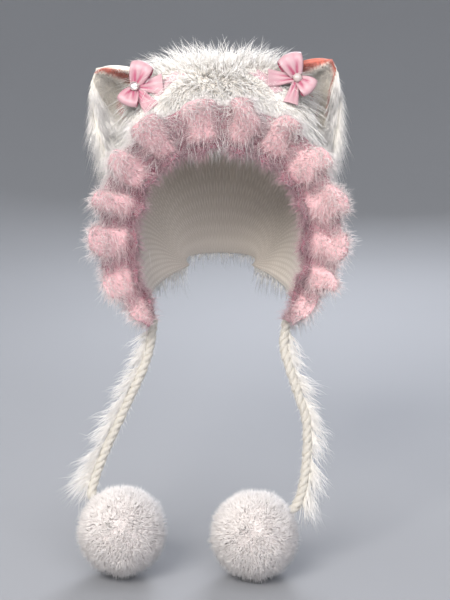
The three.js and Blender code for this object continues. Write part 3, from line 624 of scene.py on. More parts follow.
def pile_finish(name, colours, roughness, sheen, **marked):
    """Strands from root to tip in three colours, darker towards the root as painted shade, and each strand
    a little lighter or darker by chance. Each mark named in marked mixes its own three colours in where it is
    1."""
    material, surface, tree = new_material(name, Roughness=roughness, Sheen_Weight=sheen)
    along = add_node(tree, "ShaderNodeAttribute", output="Fac", attribute_name="along")
    tint = add_node(tree, "ShaderNodeAttribute", output="Fac", attribute_name="tint")
    lower = add_node(tree, "ShaderNodeMapRange", {0: along, 2: PILE_MIDDLE})
    upper = add_node(tree, "ShaderNodeMapRange", {0: along, 1: PILE_MIDDLE, 2: 1.0})
    mixed = None
    for mark, (root, middle, tip) in {"": colours, **marked}.items():
        links = {0: lower, 6: linear(root), 7: linear(middle)}
        shade = add_node(tree, "ShaderNodeMix", links, 2, data_type="RGBA")
        shade = add_node(tree, "ShaderNodeMix", {0: upper, 6: shade, 7: linear(tip)}, 2, data_type="RGBA")
        if mark:
            share = add_node(tree, "ShaderNodeAttribute", output="Fac", attribute_name=mark)
            shade = add_node(tree, "ShaderNodeMix", {0: share, 6: mixed, 7: shade}, 2, data_type="RGBA")
        mixed = shade
    brightness = add_node(tree, "ShaderNodeMapRange", {0: tint, 3: DARKEST_STRAND, 4: LIGHTEST_STRAND})
    varied = add_node(tree, "ShaderNodeHueSaturation", {"Color": mixed, "Value": brightness})
    tree.links.new(varied, surface.inputs["Base Color"])
    return material


# Long acrylic pile, white with painted cream shade in its depth and satiny tips
WHITE_PILE = pile_finish("Acrylic faux fur", ("#F5F0E6", "#FAF7F2", "#FDFCFA"), 0.5, 0.6)
# Cut pile of the pompoms, a cooler white with a faint pink in the shade
POMPOM_PILE = pile_finish("Rabbit-like pompom fur", ("#D8D1CE", "#E4DEDB", "#F1EEEC"), 0.55, 0.3)
# Brushed mohair: pink with pale, translucent-looking tips and painted shade at the roots, mauve painted shade
# in the valleys, and white in the trim, which also serves as a painted highlight on the crests
MOHAIR_PILE = pile_finish(
    "Brushed mohair",
    ("#E2B6B9", "#EDCFD0", "#F9EDEC"),
    0.6,
    0.6,
    valley=("#966671", "#AE808A", "#CDA9AE"),
    dye=("#F0E4E1", "#F7F0ED", "#FDFAF9"),
)


def yarn_finish(name, colour, shade):
    """Spun acrylic yarn: matt, with fine fibres along each ply and painted shade in the furrows between
    plies.
    """
    material, surface, tree = new_material(name, Roughness=0.85, Sheen_Weight=0.3)
    uv = add_node(tree, "ShaderNodeTexCoord", output="UV")
    links = {0: uv, 1: (FIBRES_AROUND, FIBRES_ALONG, 1.0)}
    stretched = add_node(tree, "ShaderNodeVectorMath", links, operation="MULTIPLY")
    fibres = add_node(tree, "ShaderNodeTexNoise", {"Vector": stretched, "Scale": 1.0, "Detail": 3.0}, "Fac")
    furrow = add_node(tree, "ShaderNodeAttribute", output="Fac", attribute_name="furrow")
    pale = add_node(tree, "ShaderNodeMapRange", {0: fibres, 1: 0.3, 2: 0.7, 3: 0.0, 4: 0.35})
    depth = add_node(tree, "ShaderNodeMath", {0: furrow, 1: pale}, operation="MAXIMUM")
    links = {0: depth, 6: linear(colour), 7: linear(shade)}
    mixed = add_node(tree, "ShaderNodeMix", links, 2, data_type="RGBA")
    tree.links.new(mixed, surface.inputs["Base Color"])
    links = {"Height": fibres, "Distance": 0.4 * MM, "Strength": 0.7}
    tree.links.new(add_node(tree, "ShaderNodeBump", links), surface.inputs["Normal"])
    return material


print("finishes of pile:", [finish.name for finish in (WHITE_PILE, POMPOM_PILE, MOHAIR_PILE)])

# %% [markdown]
# Each tie is a cord of three plies of white yarn twisted together, with a row of long eyelash strands down
# its outer side and a fur pompom on its end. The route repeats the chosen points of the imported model, so
# the cord lies where its solid is. Its cross-section is a circle with three lobes that turn as it goes,
# which is what three plies look like from outside.

# %% The ties' routes
TIE_DIAMETER = 12 * MM
TIE_BACK = 0.03
TIE_ROUTES = {
    "left": [
        [0, 0, 0], [-1, 0, -12], [-4, -4, -34], [-13, -11, -62], [-29, -17, -96], [-43, -22, -126],
        [-57, -27, -156], [-67, -31, -182], [-72, -36, -199], [-72, -41, -209], [-64, -45, -217],
    ],
    "right": [
        [0, 0, 0], [-2, 0, -14], [-4, -5, -33], [2, -12, -56], [14, -19, -92], [22, -24, -116],
        [24, -28, -141], [23, -32, -166], [20, -37, -190], [15, -41, -210], [8, -44, -223], [-4, -48, -230],
    ],
}
SIDES = {"left": -1, "right": 1}
TIE_RINGS = 220
TIE_AROUND = 24
PLIES = 3
PLY_PITCH = 30 * MM
PLY_FURROW = 0.3
STEPS_PER_SPAN = 40


def smooth_route(points, count):
    """Evenly spaced places on a centripetal Catmull-Rom curve through the points."""
    whole = np.vstack([2 * points[0] - points[1], points, 2 * points[-1] - points[-2]])
    t = np.linspace(0, 1, STEPS_PER_SPAN, endpoint=False)[:, None]
    line = []
    for a, b, c, d in zip(whole, whole[1:], whole[2:], whole[3:]):
        before, here, after = (np.linalg.norm(q - p) ** 0.5 for p, q in ((a, b), (b, c), (c, d)))
        leave = ((b - a) / before - (c - a) / (before + here) + (c - b) / here) * here
        arrive = ((c - b) / here - (d - b) / (here + after) + (d - c) / after) * here
        line.append(b + leave * t + (3 * (c - b) - 2 * leave - arrive) * t**2
                    + (2 * (b - c) + leave + arrive) * t**3)
    line = np.vstack([*line, points[-1:]])
    lengths = np.concatenate([[0], np.cumsum(np.linalg.norm(np.diff(line, axis=0), axis=1))])
    even = np.linspace(0, lengths[-1], count)
    return np.stack([np.interp(even, lengths, line[:, k]) for k in range(3)], -1)


def line_frames(line, first):
    """The way ahead at each place of a line, and two ways across it that turn as little as they can."""
    ahead = unit(np.gradient(line, axis=0))
    side = [unit(first - ahead[0] * np.dot(first, ahead[0]))]
    for way in ahead[1:]:
        side.append(unit(side[-1] - way * np.dot(side[-1], way)))
    side = np.array(side)
    return ahead, side, np.cross(ahead, side)


def tie_line(side):
    """A tie's centreline from the hood's front corner to the pompom."""
    corner = hood_point(0.0 if side == "left" else 1.0, TIE_BACK, KNIT_WALL / 2)
    corner[2] = hood_point(0.0, 0.0, PILE_TOP)[2] - SEAM_GAP
    return smooth_route(np.array(TIE_ROUTES[side]) * MM + corner, TIE_RINGS)


def tube_mesh(name, rings, uv, **marks):
    """A closed tube through rings of places, with a centre point in each end."""
    count, around = rings.shape[:2]
    faces = []
    for ring in range(0, (count - 1) * around, around):
        for k in range(around):
            after = (k + 1) % around
            faces.append((ring + k, ring + after, ring + around + after, ring + around + k))
    first, last = count * around, count * around + 1
    for k in range(around):
        after = (k + 1) % around
        faces.append((first, after, k))
        faces.append((last, (count - 1) * around + k, (count - 1) * around + after))
    points = np.concatenate([rings.reshape(-1, 3), [rings[0].mean(0), rings[-1].mean(0)]])
    uv = np.concatenate([uv.reshape(-1, 2), uv[0, :1], uv[-1, :1]])
    marks = {mark: np.concatenate([np.ravel(v), [0, 0]]) for mark, v in marks.items()}
    return mesh_of(name, points, faced_out(points, faces), uv, **marks)


def tie_mesh(side, line):
    """Three plies twisted together, as one closed tube with turning lobes."""
    _, across, up = line_frames(line, np.array([0.0, -1.0, 0.0]))
    far = np.linspace(0, np.linalg.norm(np.diff(line, axis=0), axis=1).sum(), TIE_RINGS)[:, None]
    angle = np.linspace(0, 2 * math.pi, TIE_AROUND, endpoint=False)[None, :]
    twist = 2 * math.pi * far / PLY_PITCH
    lobe = np.abs(np.cos(PLIES / 2 * (angle - twist))) ** 0.5
    radius = TIE_DIAMETER / 2 * (1 - PLY_FURROW + PLY_FURROW * lobe)
    radius = radius * (1 + 0.05 * np.sin(far * 310) + 0.03 * np.sin(far * 790 + angle))
    turn = across[:, None] * np.cos(angle)[..., None] + up[:, None] * np.sin(angle)[..., None]
    rings = line[:, None] + turn * radius[..., None]
    uv = np.stack([(angle - twist) / (2 * math.pi), far + 0 * angle], -1)
    # Painted shade in the furrows between the plies
    furrow = np.clip(1.1 - 1.6 * lobe, 0, 1)
    return tube_mesh(f"{side}_tie_yarn", rings, uv, furrow=furrow)


tie_lines = {side: tie_line(side) for side in SIDES}
for side, line in tie_lines.items():
    length = np.linalg.norm(np.diff(line, axis=0), axis=1).sum()
    print(f"{side} tie: {length:.3f} m long, ends at {np.round(line[-1], 3).tolist()}")

# %% [markdown]
# Eyelash yarn has a row of long fine strands on one side. Its roots here are a narrow strip down the
# outer side of each tie, combed outward and down. Marks on the roots say how long the strands are at each
# place, and gather them in tufts. Short fuzz grows on the whole cord as well, because spun yarn is never
# bare.

# %% Eyelash strands on the ties
EYELASH_LENGTH = 36 * MM
EYELASH_COUNT = 850
EYELASH_STRIP = 7 * MM
EYELASH_FIRST, EYELASH_LAST = 0.06, 0.93
FUZZ_COUNT = 700
FUZZ_LENGTH = 7 * MM


def eyelash_roots(side, line):
    """A strip down the outer side of a tie, marked for long strands."""
    ahead, _, _ = line_frames(line, np.array([0.0, -1.0, 0.0]))
    outward = np.array([SIDES[side], 0.0, 0.0])
    outward = unit(outward - ahead * (ahead @ outward)[:, None])
    across = np.cross(ahead, outward)
    kept = slice(int(EYELASH_FIRST * TIE_RINGS), int(EYELASH_LAST * TIE_RINGS), 3)
    spread = np.linspace(-0.5, 0.5, 4)[None, :, None]
    grid = line[kept, None] + outward[kept, None] * TIE_DIAMETER * 0.4
    grid = grid + across[kept, None] * spread * EYELASH_STRIP
    share = np.linspace(0, 1, grid.shape[0])[:, None]
    uneven = 0.85 + 0.2 * np.sin(share * 41) * np.sin(share * 17 + 1)
    stand = outward[kept, None] + across[kept, None] * spread * 0.5
    return root_mesh(
        grid,
        stand=np.broadcast_to(stand, grid.shape),
        comb=np.broadcast_to(ahead[kept, None], grid.shape),
        pile=np.broadcast_to((0.75 + 0.22 * share) * uneven, grid.shape[:2]),
        cover=0.1 + np.clip(np.sin(share * 62 + 2 * np.sin(share * 23)), 0, 1),
        lift=np.full(grid.shape[:2], 0.42),
    )


def fuzz_roots(side, line):
    """The whole surface of a tie, marked for short fuzz."""
    ahead, across, up = line_frames(line, np.array([0.0, -1.0, 0.0]))
    angle = np.linspace(0, 2 * math.pi, 9)[None, :, None]
    stand = (across[:, None] * np.cos(angle) + up[:, None] * np.sin(angle))[::5]
    grid = line[::5, None] + stand * TIE_DIAMETER * 0.42
    even = np.ones(grid.shape[:2])
    comb = np.broadcast_to(ahead[::5, None], grid.shape)
    return root_mesh(grid, stand=stand, comb=comb, pile=even, cover=even, lift=0.35 * even)


print("each tie gets", EYELASH_COUNT, "long strands and", FUZZ_COUNT, "short ones")

# %% [markdown]
# A pompom is a ball of strands bound at the middle and clipped round, so its tips end near one sphere and
# stand straight out, gathered into small tufts. Strands of one step are cones of four triangles, and
# there is room for thousands. A dense core under them stops the light, as the bound middle does.

# %% Pompoms
POMPOM_CORE_SHARE = 0.87
POMPOM_PILE_SHARE = 0.22
POMPOM_ROOT_DEPTH = 0.04
POMPOM_STRANDS = 17500
# Woolly bumps 1.4 mm apart, coarser than real ones so that they show
WOOL_BUMPS = 0.7 / MM


def ball_mesh(name, centre, radii, detail, noise=0.0):
    """A ball from a subdivided icosahedron, with an uneven surface."""
    ball = bmesh.new()
    bmesh.ops.create_icosphere(ball, subdivisions=detail, radius=1.0)
    ways = np.array([v.co[:] for v in ball.verts])
    faces = [tuple(v.index for v in f.verts) for f in ball.faces]
    ball.free()
    bumps = np.sin(ways[:, 0] * 9 + 1) * np.sin(ways[:, 1] * 8 + 2) * np.sin(ways[:, 2] * 10)
    points = centre + ways * radii * (1 + noise * bumps)[:, None]
    even = np.ones(len(points))
    pile = 1 + 1.5 * noise * bumps
    return mesh_of(name, points, faces, stand=ways, comb=0 * ways, pile=pile, cover=even, lift=even)


def core_finish(name, colour, shade):
    """The bound middle of a pompom or the backing of fur: the pile's colour with woolly bumps."""
    material, surface, tree = new_material(name, Roughness=0.95)
    place = add_node(tree, "ShaderNodeTexCoord", output="Object")
    wool = add_node(tree, "ShaderNodeTexNoise", {"Vector": place, "Scale": WOOL_BUMPS, "Detail": 3.0}, "Fac")
    links = {0: wool, 6: linear(shade), 7: linear(colour)}
    mixed = add_node(tree, "ShaderNodeMix", links, 2, data_type="RGBA")
    tree.links.new(mixed, surface.inputs["Base Color"])
    links = {"Height": wool, "Distance": 0.3 * MM, "Strength": 0.4}
    tree.links.new(add_node(tree, "ShaderNodeBump", links), surface.inputs["Normal"])
    return material


# Fur matted at its roots, which shows cream where the locks part
MATTED_ROOTS = core_finish("Matted fur roots", "#F3EEE7", "#ECE6DD")
# The tightly bound middle of a pompom, a greyer white because little light gets there
BOUND_MIDDLE = core_finish("Bound fur middle", "#DFD9D6", "#D4CCCA")
# Undyed acrylic yarn, creamier than the fur, with warm grey painted shade in the furrows
TIE_YARN = yarn_finish("Twisted acrylic yarn", "#C9C5BC", "#938A79")

for number, (side, line) in enumerate(tie_lines.items()):
    yarn = show(f"{side}_tie_yarn", tie_mesh(side, line), TIE_YARN, "white_yarn", f"{side}_tie")
    lashes = pile_mesh(
        f"{side}_tie_eyelashes", eyelash_roots(side, line), EYELASH_COUNT, WHITE_PILE,
        length=EYELASH_LENGTH, width=0.9 * MM, variety=0.35, sway=0.28, droop=0.2, lock_size=11 * MM,
        lock_pull=1.1, curl=0.9, curl_size=20 * MM, frizz=4.0, steps=4, seed=11 + number,
    )
    lashes = show(f"{side}_tie_eyelashes", lashes, None, "white_yarn", f"{side}_tie_fringe")
    fuzz = pile_mesh(
        f"{side}_tie_fuzz", fuzz_roots(side, line), FUZZ_COUNT, WHITE_PILE,
        length=FUZZ_LENGTH, width=0.35 * MM, sway=0.6, curl=0.7, curl_size=5 * MM, frizz=60.0,
        seed=21 + number,
    )
    fuzz = show(f"{side}_tie_fuzz", fuzz, None, "white_yarn")
    low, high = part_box(f"{side}_pompom")
    centre, radii = np.array((low + high) / 2), np.array((high - low) / 2)
    core = ball_mesh(f"{side}_pompom_core", centre, radii * POMPOM_CORE_SHARE, 4)
    core = show(f"{side}_pompom_core", core, BOUND_MIDDLE, "pompom_fur")
    roots = ball_mesh("roots", centre, radii * (POMPOM_CORE_SHARE - POMPOM_ROOT_DEPTH), 4, noise=0.05)
    strands = pile_mesh(
        f"{side}_pompom_pile", roots, POMPOM_STRANDS, POMPOM_PILE,
        length=float(radii.mean() * POMPOM_PILE_SHARE), width=1.35 * MM, variety=0.34, sway=0.42,
        droop=0.05, lock_size=7 * MM, lock_pull=0.28, taper=0.6, curl=0.0, steps=1, seed=31 + number,
    )
    strands = show(f"{side}_pompom_pile", strands, None, "pompom_fur", f"{side}_pompom")

# %% [markdown]
# The hood itself is a knitted sheet, whose inside shows through the face opening. Knit is rows of stitches,
# each a V of two leaning legs, so its bump is worked out from the sheet's UV: one period across for each
# column of stitches, pushed up and down by how far a point is from the column's middle.

# %% Knitted shell
STITCH_WIDTH = 9 * MM
STITCH_HEIGHT = 7.5 * MM
SHELL_COLUMNS = 90
SHELL_ROWS = 40
HOOD_ARC = 2 * half_arch(0.4)[4][-1]
HOOD_LENGTH = 300 * MM
# Fluff on the yarn, 1.1 mm across
FLUFF_BUMPS = 0.9 / MM


def knit_finish(name, colour, shade):
    """Stocking stitch in soft yarn: the legs of each V catch the light, and the gaps are darker."""
    material, surface, tree = new_material(name, Roughness=0.9, Sheen_Weight=0.3)
    uv = add_node(tree, "ShaderNodeTexCoord", output="UV")
    counts = (HOOD_ARC / STITCH_WIDTH, HOOD_LENGTH / STITCH_HEIGHT, 1.0)
    stitches = add_node(tree, WAY, {0: uv, 1: counts}, operation="MULTIPLY")
    split = add_node(tree, "ShaderNodeSeparateXYZ", {0: stitches}, "X").node
    column = add_node(tree, SUM, {0: split.outputs["X"], 1: 1.0}, operation="PINGPONG")
    lean = add_node(tree, SUM, {0: column, 1: 0.9}, operation="MULTIPLY")
    row = add_node(tree, SUM, {0: split.outputs["Y"], 1: lean}, operation="ADD")
    row = add_node(tree, SUM, {0: row, 1: 0.5}, operation="PINGPONG")
    leg = add_node(tree, SUM, {0: column, 1: 0.5}, operation="SUBTRACT")
    leg = add_node(tree, SUM, {0: leg}, operation="ABSOLUTE")
    leg = add_node(tree, "ShaderNodeMapRange", {0: leg, 1: 0.5, 2: 0.1}, interpolation_type="SMOOTHSTEP")
    row = add_node(tree, "ShaderNodeMapRange", {0: row, 2: 0.3}, interpolation_type="SMOOTHSTEP")
    stitch = add_node(tree, SUM, {0: leg, 1: row}, operation="MULTIPLY")
    place = add_node(tree, "ShaderNodeTexCoord", output="Object")
    wool = add_node(tree, "ShaderNodeTexNoise", {"Vector": place, "Scale": FLUFF_BUMPS, "Detail": 2.0}, "Fac")
    fluff = add_node(tree, SUM, {0: wool, 1: 0.35}, operation="MULTIPLY")
    height = add_node(tree, SUM, {0: stitch, 1: fluff}, operation="ADD")
    links = {0: stitch, 6: linear(shade), 7: linear(colour)}
    mixed = add_node(tree, "ShaderNodeMix", links, 2, data_type="RGBA")
    tree.links.new(mixed, surface.inputs["Base Color"])
    links = {"Height": height, "Distance": 1.0 * MM, "Strength": 0.4}
    tree.links.new(add_node(tree, "ShaderNodeBump", links), surface.inputs["Normal"])
    return material


def hood_grid(columns, rows, height, first=0.0, last=1.0):
    """Places on the hood at a height over its inner face, and the directions off the cloth there."""
    across = np.linspace(0, 1, columns + 1)
    backs = np.linspace(first, last, rows + 1)
    places = np.stack([hood_point(across, back, height) for back in backs], 1)
    return places, np.stack([hood_normal(across, back) for back in backs], 1)


# Hand-knitted acrylic in stocking stitch: a cream painted greyer as shade for the inside of the hood
outer, _ = hood_grid(SHELL_COLUMNS, SHELL_ROWS, KNIT_WALL)
inner, _ = hood_grid(SHELL_COLUMNS, SHELL_ROWS, 0.0)
HOOD_KNIT = knit_finish("Stocking-stitch knit", "#D8D0C6", "#C6BDB2")
show("hood_shell_knit", sheet_mesh("hood_shell_knit", outer, inner), HOOD_KNIT, "white_yarn", "hood_shell")

# %% [markdown]
# A flat ribbon end lies over the crown beside each bow. Its place is worked out before the crown's pile is
# grown, so that the pile can be parted round it, as a maker would brush it aside before sewing.

# %% Places of the ribbon ends
RIBBON = 1 * MM
STREAMER_WIDTH = 18 * MM
STREAMER_NOTCH = 8 * MM
STREAMERS = {"left": (0.22, 0.12, 0.21, 0.3), "right": (0.2, 0.105, 0.21, 0.3)}


def streamer_faces(side):
    """The two faces of the ribbon end that lies over the crown's pile from beside the bow."""
    along, along_end, back, back_end = STREAMERS[side]
    s = np.linspace(0, 1, 33)
    t = np.linspace(0, 1, 13)[None, :, None]

    def line(at):
        across = (1 + SIDES[side] * (along + (along_end - along) * at)) / 2
        lie = back + (back_end - back) * at
        return hood_point(across, lie, PILE_TOP), hood_normal(across, lie)

    place = np.array([line(at)[0] for at in s])[:, None]
    normal = np.array([line(at)[1] for at in s])[:, None]
    ahead = unit(np.array([line(at + 0.01)[0] - line(at - 0.01)[0] for at in s]))[:, None]
    sideways = unit(np.cross(normal, ahead))
    s = s[:, None, None]
    width = STREAMER_WIDTH * (0.7 + 0.3 * s)
    inset = STREAMER_NOTCH * s * (1 - np.abs(2 * t - 1))
    ripple = np.sin(math.pi * s) * np.sin(math.pi * t) * MM
    curl = (width / MM) ** 2 * np.abs(t - 0.5) ** 3 * 0.004 * MM
    grid = place + sideways * (t - 0.5) * width - ahead * inset + normal * (ripple + curl)
    way = grid_normals(grid, normal)
    low, high = (np.array(corner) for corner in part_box(f"{side}_bow_streamer"))
    shift = (low + high) / 2 - (grid.min((0, 1)) + grid.max((0, 1))) / 2
    grid = grid + normal * (normal[16] @ shift)[0]
    return grid + way * RIBBON / 2, grid - way * RIBBON / 2


ribbon_ends = {side: streamer_faces(side) for side in SIDES}
for side, (front, _) in ribbon_ends.items():
    lowest, highest = (np.round(corner, 3) for corner in (front.min((0, 1)), front.max((0, 1))))
    print(f"{side} ribbon end reaches from {lowest} to {highest}")

# %% [markdown]
# The crown is covered in long pile. It is combed away from a whorl on top, swirls a little as it goes,
# falls with its own weight down the sides, and stands up most on top. Two coats are grown: a dense
# undercoat that hides the backing, and longer guard hairs in locks. The pile is short under the bows and
# their ribbon ends, which would sink into it otherwise, and along the hem. Next to the ruffle it is short
# too and brushed back, so that it doesn't come through the frill.

# %% Crown pile
CROWN_COLUMNS = 72
CROWN_ROWS = 32
PILE_LENGTH = 37 * MM
GUARD_HAIRS = 17500
UNDERCOAT_HAIRS = 22000
WHORL = (0.5, 0.42)
FREE_OF_RIBBON = 9 * MM
RIBBON_MARGIN = 4 * MM
UNDER_BOW = 0.3
UNDER_RIBBON = 0.25
SEAM_BAND = 0.05
HEM_BAND = 0.05
NAPE_BAND = 0.08
CUT_AT_SEAM = 0.6
CUT_AT_HEM = 0.5
BRUSH_BACK = 3
SWIRL = 1.1
ROOT_DEPTH = 0.5 * MM


def boxes_near(places, names, reach):
    """From 0 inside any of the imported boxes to 1 where a place is the reach away from all of them."""
    nearest = np.ones(places.shape[:-1])
    for name in names:
        low, high = (np.array(corner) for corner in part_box(name))
        gap = np.maximum(np.maximum(low - places, places - high), 0)
        nearest = np.minimum(nearest, np.linalg.norm(gap, axis=-1) / reach)
    return np.clip(nearest, 0, 1)


def crown_roots(height):
    """The hood's outside, marked for pile that is combed from the whorl."""
    places, stand = hood_grid(CROWN_COLUMNS, CROWN_ROWS, height)
    across = np.linspace(0, 1, CROWN_COLUMNS + 1)[:, None]
    back = np.linspace(0, 1, CROWN_ROWS + 1)[None, :]
    whorl = hood_point(WHORL[0], WHORL[1], height)
    away = unit(places - whorl + np.array([0, 0, 1e-6]))
    forward = np.clip(1 - back / 0.3, 0, 1) + 0 * across
    fall = np.stack([0 * forward, -0.4 * forward, -0.7 + 0 * forward], -1)
    swirl = np.sin(places[..., 0] * 70 + 3 * np.sin(places[..., 2] * 60)) * np.sin(places[..., 1] * 55 + 1)
    swirl = np.cross(stand, away) * SWIRL * swirl[..., None]
    brushed_back = np.clip(1.6 - back / SEAM_BAND, 0, 1) + 0 * across
    brushed_back = np.stack([0 * forward, BRUSH_BACK * brushed_back, 0 * forward], -1)
    comb = unit(along_surface(away + fall + swirl + brushed_back, stand) + 1e-9)
    top = np.clip((stand[..., 2] - 0.3) / 0.5, 0, 1)
    free = boxes_near(places, [f"{side}_bow" for side in SIDES], FREE_OF_RIBBON)
    free = UNDER_BOW + (1 - UNDER_BOW) * free
    for ribbon, _ in ribbon_ends.values():
        far = np.linalg.norm(places[:, :, None] - ribbon.reshape(-1, 3)[::2], axis=-1).min(-1)
        far = np.clip((far - RIBBON_MARGIN) / FREE_OF_RIBBON, 0, 1)
        free = np.minimum(free, UNDER_RIBBON + (1 - UNDER_RIBBON) * far)
    at_seam = np.clip(1 - back / SEAM_BAND, 0, 1) + 0 * across
    from_hem = np.minimum(np.minimum(across, 1 - across) / HEM_BAND, (1 - back) / NAPE_BAND)
    at_hem = np.clip(1 - from_hem, 0, 1)
    free = free * (1 - CUT_AT_SEAM * at_seam)
    pile = (0.95 + 0.25 * top) * free * (1 - CUT_AT_HEM * at_hem)
    lift = 0.32 + 0.36 * top**2
    return root_mesh(places, stand=stand, comb=comb, pile=pile, cover=0.8 + 0.2 * free, lift=lift)


front, _ = hood_grid(CROWN_COLUMNS, CROWN_ROWS, PILE_TOP)
behind, _ = hood_grid(CROWN_COLUMNS, CROWN_ROWS, KNIT_WALL + SEAM_GAP)
backing = sheet_mesh("crown_fur_backing", front, behind)
show("crown_fur_backing", backing, MATTED_ROOTS, "white_yarn", "crown_fur")
guard = pile_mesh(
    "crown_guard_hairs", crown_roots(PILE_TOP - ROOT_DEPTH), GUARD_HAIRS, WHITE_PILE,
    length=PILE_LENGTH, width=0.95 * MM, variety=0.35, sway=0.28, droop=0.32, lock_size=14 * MM,
    lock_pull=0.5, curl=0.4, curl_size=24 * MM, seed=1,
)
show("crown_guard_hairs", guard, None, "white_yarn")
undercoat = pile_mesh(
    "crown_undercoat", crown_roots(PILE_TOP - ROOT_DEPTH), UNDERCOAT_HAIRS, WHITE_PILE,
    length=0.5 * PILE_LENGTH, width=1.6 * MM, sway=0.3, droop=0.2, lock_size=9 * MM, curl=0.0, steps=1,
    seed=2,
)
show("crown_undercoat", undercoat, None, "white_yarn")

# %% [markdown]
# The ruffle is a frill sewn to the hood's front edge: its lip turns into the face opening and its free
# edge flares out in fourteen waves. A wave's crest stands forward and its valley lies back, and the
# brushed mohair rounds both into soft puffs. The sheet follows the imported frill's own rule at a finer
# grain, with rounded edges and small swellings added.

# %% Ruffle
RUFFLE_WIDTH = 48 * MM
RUFFLE_LIP = 7 * MM
RUFFLE_THICKNESS = 7 * MM
RUFFLE_FLARE = 20 * MM
RUFFLE_WAVE = 10 * MM
RUFFLE_SCALLOP = 5 * MM
RUFFLE_WAVES = 14
WAVE_DRIFT = 0.6
WAVE_VARIETY = 0.24
RUFFLE_COLUMNS = RUFFLE_WAVES * 18
RUFFLE_ROWS = 24
RUFFLE_LUMP = 1.8 * MM
RUFFLE_MEANDER = 4 * MM
MOHAIR_FRIZZ = 60.0
# Clumps of brushed mohair, nearly 4 mm across
MOHAIR_CLUMPS = 0.26 / MM
RUFFLE_ARCH = table(
    ["at", "width", "wave"],
    [0.0, 1.0, 1.0],
    [0.3, 0.95, 1.0],
    [0.58, 0.85, 1.0],
    [0.74, 0.74, 0.85],
    [0.85, 0.52, 0.5],
    [0.93, 0.32, 0.3],
    [1.0, 0.16, 0.2],
)


def ruffle_grid():
    """The frill's middle surface, with how far each place is up a wave's crest and out from the seam."""
    s = np.linspace(0, 1, RUFFLE_COLUMNS + 1)[:, None]
    t = np.linspace(0, 1, RUFFLE_ROWS + 1)[None, :]
    from_top = np.abs(2 * s - 1)
    width = RUFFLE_WIDTH * np.vectorize(lambda at: at_share(RUFFLE_ARCH, "width", at))(from_top)
    lip = RUFFLE_LIP * np.minimum(1, width / (0.5 * RUFFLE_WIDTH))
    across = -lip + t * (lip + width)
    out = across / width
    phase = 2 * math.pi * RUFFLE_WAVES * (s - 0.5) - math.pi / 2 + WAVE_DRIFT * np.sin(21 * s)
    swell = np.vectorize(lambda at: at_share(RUFFLE_ARCH, "wave", at))(from_top)
    swell = swell * (1 + WAVE_VARIETY * np.sin(37 * s))
    depth = RUFFLE_WAVE * swell * (0.3 + 0.7 * np.minimum(np.abs(out) * np.where(out < 0, 4, 1), 1))
    seam = hood_inner(s[:, 0], 0)
    ahead, behind = np.minimum(s[:, 0] + SMALL_STEP, 1), np.maximum(s[:, 0] - SMALL_STEP, 0)
    tangent = (hood_inner(ahead, 0) - hood_inner(behind, 0)) * np.array([1, 0, 1])
    tangent = unit(tangent)[:, None]
    outward = np.stack([-tangent[..., 2], 0 * tangent[..., 1], tangent[..., 0]], -1)
    curl = np.where(out < 0, lip * out * out, RUFFLE_FLARE * np.abs(out) ** 1.4)
    radial = KNIT_WALL / 2 + across + RUFFLE_SCALLOP * out * np.sin(phase) * swell
    roll = -0.35 * depth * np.sin(2 * phase)
    grid = np.stack([seam[:, 0], np.full(len(s), FRONT_PLANE), seam[:, 2]], -1)[:, None]
    grid = grid + outward * radial[..., None] + tangent * roll[..., None]
    grid = grid - np.array([0, 1, 0]) * (curl + depth * (1 + np.sin(phase)))[..., None]
    crest = (1 + np.sin(phase)) / 2 + 0 * t
    return grid, crest, out, np.broadcast_to(outward, grid.shape)


def ruffle_faces():
    """The frill's two faces with rounded edges and soft swellings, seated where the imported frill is."""
    grid, crest, out, outward = ruffle_grid()
    normals = grid_normals(grid, np.array([0, -1, 0]))
    t = np.linspace(-1, 1, RUFFLE_ROWS + 1)[None, :]
    half = RUFFLE_THICKNESS / 2 * (1 - np.abs(t) ** 4) ** 0.5
    place = grid / MM
    bumps = np.sin(place[..., 0] / 5) * np.sin(place[..., 2] / 6 + 1) + np.sin(place[..., 1] / 4 + 2)
    half = half * (1 + 0.16 * bumps) + 0.2 * MM
    lumps = np.sin(place[..., 0] / 7 + 2) * np.sin(place[..., 2] / 6)
    lumps = lumps + np.sin(place[..., 2] / 9 + place[..., 0] / 11)
    along = np.stack([outward[..., 2], 0 * t + 0 * out, -outward[..., 0]], -1)
    meander = np.sin(5 * out + place[..., 0] / 13 + place[..., 2] / 17) * np.clip(out + 0.1, 0, 1)
    grid = grid + (normals + 0.6 * outward) * (RUFFLE_LUMP * lumps)[..., None]
    grid = grid + along * (RUFFLE_MEANDER * meander)[..., None]
    front, back = grid + normals * half[..., None], grid - normals * half[..., None]
    packed_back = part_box("ruffle_brim")[1].y
    shift = np.array([0, packed_back - max(front[..., 1].max(), back[..., 1].max()), 0])
    return front + shift, back + shift, normals, crest, out, outward


def mohair_cloth_finish():
    """The brushed knit under the nap: pink, with painted mauve shade in the valleys, and a woolly bump."""
    material, surface, tree = new_material("Brushed mohair knit", Roughness=0.95, Sheen_Weight=0.4)
    valley = add_node(tree, "ShaderNodeAttribute", output="Fac", attribute_name="valley")
    place = add_node(tree, "ShaderNodeTexCoord", output="Object")
    links = {"Vector": place, "Scale": MOHAIR_CLUMPS, "Detail": 4.0}
    wool = add_node(tree, "ShaderNodeTexNoise", links, "Fac")
    rise = add_node(tree, "ShaderNodeMapRange", {0: wool, 3: -0.25, 4: 0.25})
    blend = add_node(tree, SUM, {0: valley, 1: rise}, operation="ADD", use_clamp=True)
    # The second colour is painted shade, mixed in by the valley mark along with a little random woolly tone
    links = {0: blend, 6: linear("#E2B6B9"), 7: linear("#925F6B")}
    mixed = add_node(tree, "ShaderNodeMix", links, 2, data_type="RGBA")
    tree.links.new(mixed, surface.inputs["Base Color"])
    links = {"Height": wool, "Distance": 0.6 * MM, "Strength": 0.5}
    tree.links.new(add_node(tree, "ShaderNodeBump", links), surface.inputs["Normal"])
    return material


